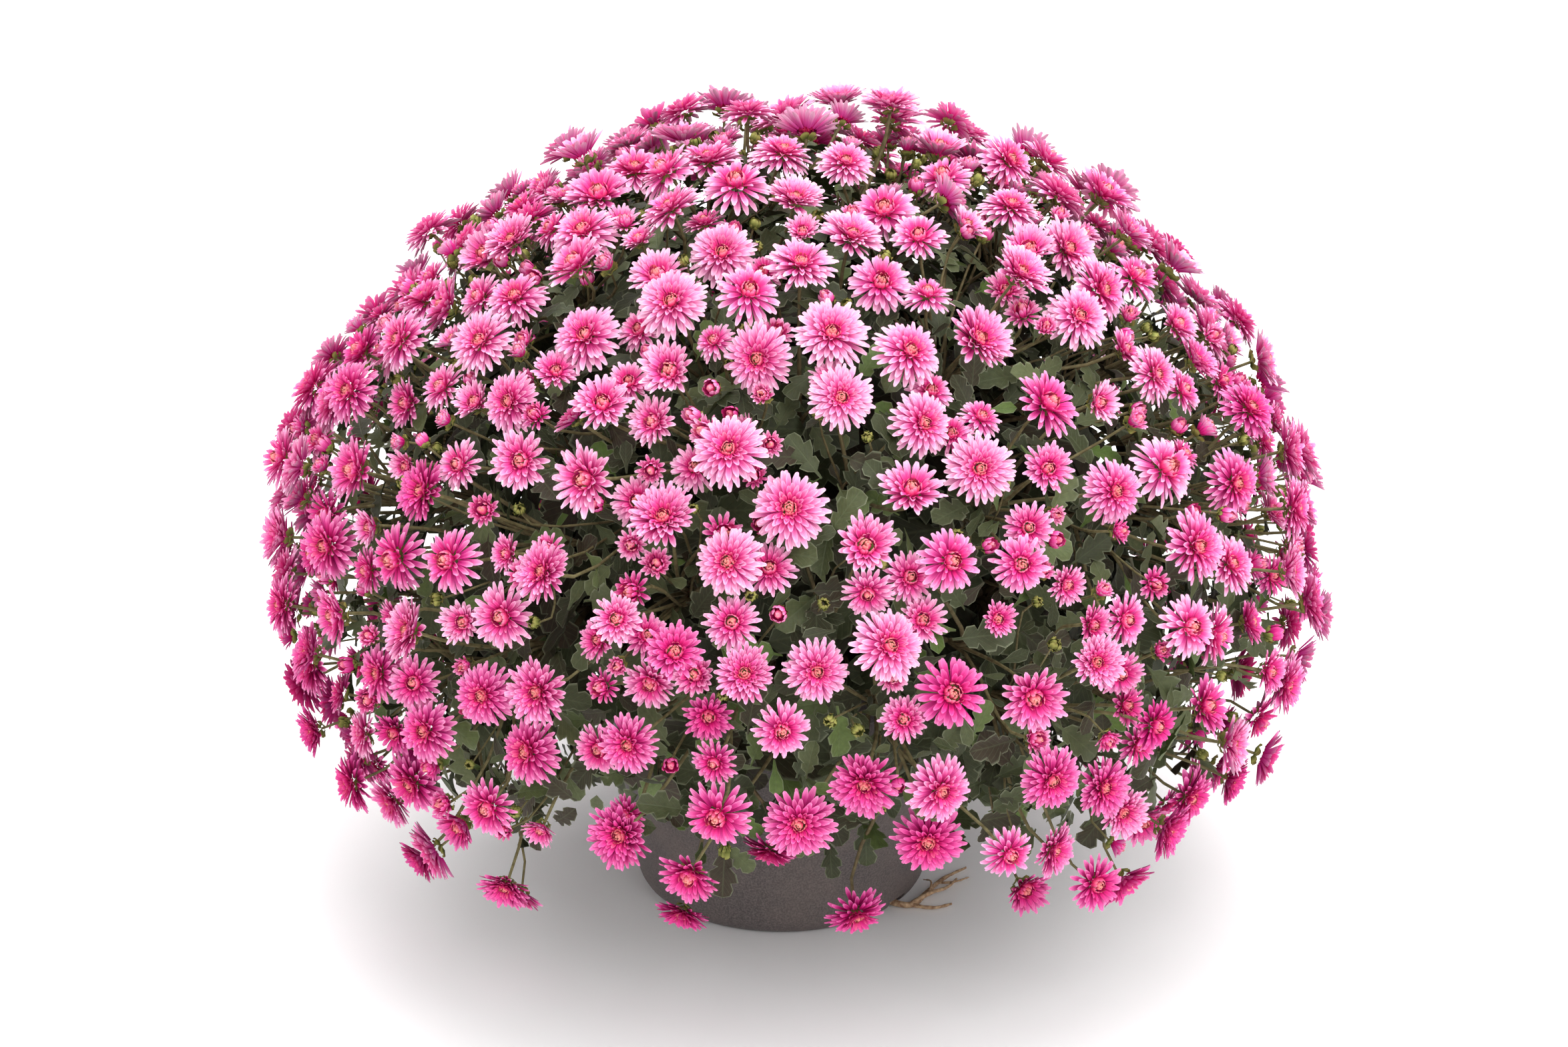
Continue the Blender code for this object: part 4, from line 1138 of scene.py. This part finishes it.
def skirt_leaves(stem, rng):
    """Lobed leaves along the drooping shoots of one stem, kept clear of the pot"""
    leaves = []
    for path in SKIRT_PATHS[stem]:
        for step, root in enumerate(path[1:]):
            for _ in range(1 if step < 2 else 2):
                out = unit(root * np.array((1.0, 1.0, 0.0)))
                aside = np.cross(UP, out) * rng.uniform(-1.0, 1.0)
                heading = unit(aside + out * rng.uniform(0.0, 0.7) - UP * rng.uniform(0.0, 0.9))
                face = out + UP * 0.5 + wobble(rng, 0.25)
                size = rng.uniform(*SKIRT_LEAF_SIZES)
                if clear_of_pot(root) and clear_of_pot(root + heading * size):
                    leaves.append((rng.choice(LOBED_LEAVES), leaf_frame(heading, face, size),
                                   root, rng.random()))
    return leaves


def leaf_material():
    """Chrysanthemum leaf: waxy felt, dark grey-green, faint lighter veins and a fine pale rim"""
    material, shader, node = start_material("felted leaf blade", 0.55, 0.32)
    mark = node("Attribute", {"attribute_name": "leaf"})
    split = node("SeparateXYZ", links={"Vector": (mark, "Vector")})
    tone = node("Attribute", {"attribute_name": "tone"})
    place = node("TexCoord")
    base = node("ValToRGB", {"stops": LEAF_GREENS}, {"Fac": (tone, "Fac")})
    side = node("Math", {"operation": "ABSOLUTE"}, {"Value": (split, "Y")})
    slant = node("Math", {"operation": "MULTIPLY_ADD", 1: VEIN_SLANT},
                 {0: (side, "Value"), 2: (split, "X")})
    ribs = node("Math", {"operation": "PINGPONG", 1: VEIN_SPACING}, {0: (slant, "Value")})
    vein = node("MapRange", {"From Max": 0.010, "To Min": 1.0, "To Max": 0.0}, {"Value": (ribs, "Value")})
    midrib = node("MapRange",
                  {"From Max": 0.07, "To Min": 1.0, "To Max": 0.0}, {"Value": (side, "Value")})
    lines = node("Math", {"operation": "MAXIMUM"}, {0: (vein, "Result"), 1: (midrib, "Result")})
    faint = node("Math", {"operation": "MULTIPLY", 1: 0.22}, {0: (lines, "Value")})
    veined = node("Mix", {"data_type": "RGBA", "B": linear("#6F7A58")},
                  {"Factor": (faint, "Value"), "A": (base, "Color")})
    rim = node("MapRange", {"From Min": 0.84, "To Max": 0.6}, {"Value": (split, "Z")})
    rimmed = node("Mix", {"data_type": "RGBA", "B": linear("#8B9276")},
                  {"Factor": (rim, "Result"), "A": (veined, "Result")})
    felt = node("TexNoise", {"Scale": FELT_SCALE, "Detail": 4.0}, {"Vector": (place, "Object")})
    mottled = node("Mix", {"data_type": "RGBA", "blend_type": "OVERLAY", "Factor": 0.35},
                   {"A": (rimmed, "Result"), "B": (felt, "Fac")})
    quilt = node("Bump",
                 {"Strength": 0.35, "Distance": 0.0005, "invert": True}, {"Height": (lines, "Value")})
    link_to(material, shader, {"Base Color": (mottled, "Result"), "Normal": (quilt, "Normal")})
    return material


leaf_skin = leaf_material()
mass = mass_leaves(random.Random(61))
for stem in range(len(STEM_WAYS)):
    copies = mass[stem] + stalk_leaves(stem, random.Random(80 + stem))
    copies += skirt_leaves(stem, random.Random(120 + stem))
    leaves = copies_to_mesh(f"leaves_{stem + 1:02d}", copies, "leaf")
    leaves.data.materials.append(leaf_skin)
    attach(leaves, "root")
    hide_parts(f"flowering_stem_{stem + 1:02d}")


# Stage: a plain pale floor, large soft lights in front at the right, overhead and behind, and a
# bright even surround, with the camera at the photograph's height and distance.
CAMERA_PLACE = (0.0015, -1.8521, 0.9856)
CAMERA_PITCH = radians(22)
LENS = 75.0
FLOOR_WIDTH = 12.0
SURROUND = 1.12
# Soft lights: name, place, aim, width and power in watts
LIGHTS = (
    ("front softbox", (1.0, -1.8, 1.7), (0.0, 0.0, 0.25), 1.8, 27.0),
    ("top softbox", (0.2, -0.1, 2.4), (0.0, 0.0, 0.3), 2.2, 34.0),
    ("back softbox", (-0.7, 1.7, 2.1), (0.0, 0.0, 0.35), 1.8, 22.0),
)


def soft_light(name, place, aim, size, power):
    lamp = bpy.data.lights.new(name, "AREA")
    lamp.shape = "DISK"
    lamp.size = size
    lamp.energy = power
    light = add_object(name, lamp)
    light.location = place
    light.rotation_euler = (Vector(aim) - Vector(place)).to_track_quat("-Z", "Y").to_euler()


floor = start_mesh(bpy.ops.mesh.primitive_plane_add, size=FLOOR_WIDTH)
floor.name = "pale_floor"
floor_paint, floor_shader, _ = start_material("pale matt floor", 0.8, 0.2)
floor_shader.inputs["Base Color"].default_value = linear("#FCFCFC")
floor.data.materials.append(floor_paint)

for light in LIGHTS:
    soft_light(*light)

world = bpy.data.worlds.new("white surround")
world.use_nodes = True
surround = world.node_tree.nodes["Background"]
surround.inputs["Color"].default_value = (1.0, 1.0, 1.0, 1.0)
surround.inputs["Strength"].default_value = SURROUND
bpy.context.scene.world = world
bpy.context.scene.view_settings.view_transform = "Standard"

camera_data = bpy.data.cameras.new("camera")
camera_data.lens = LENS
camera = add_object("camera", camera_data)
camera.location = CAMERA_PLACE
camera.rotation_euler = (pi / 2 - CAMERA_PITCH, 0.0, 0.0)
bpy.context.scene.camera = camera
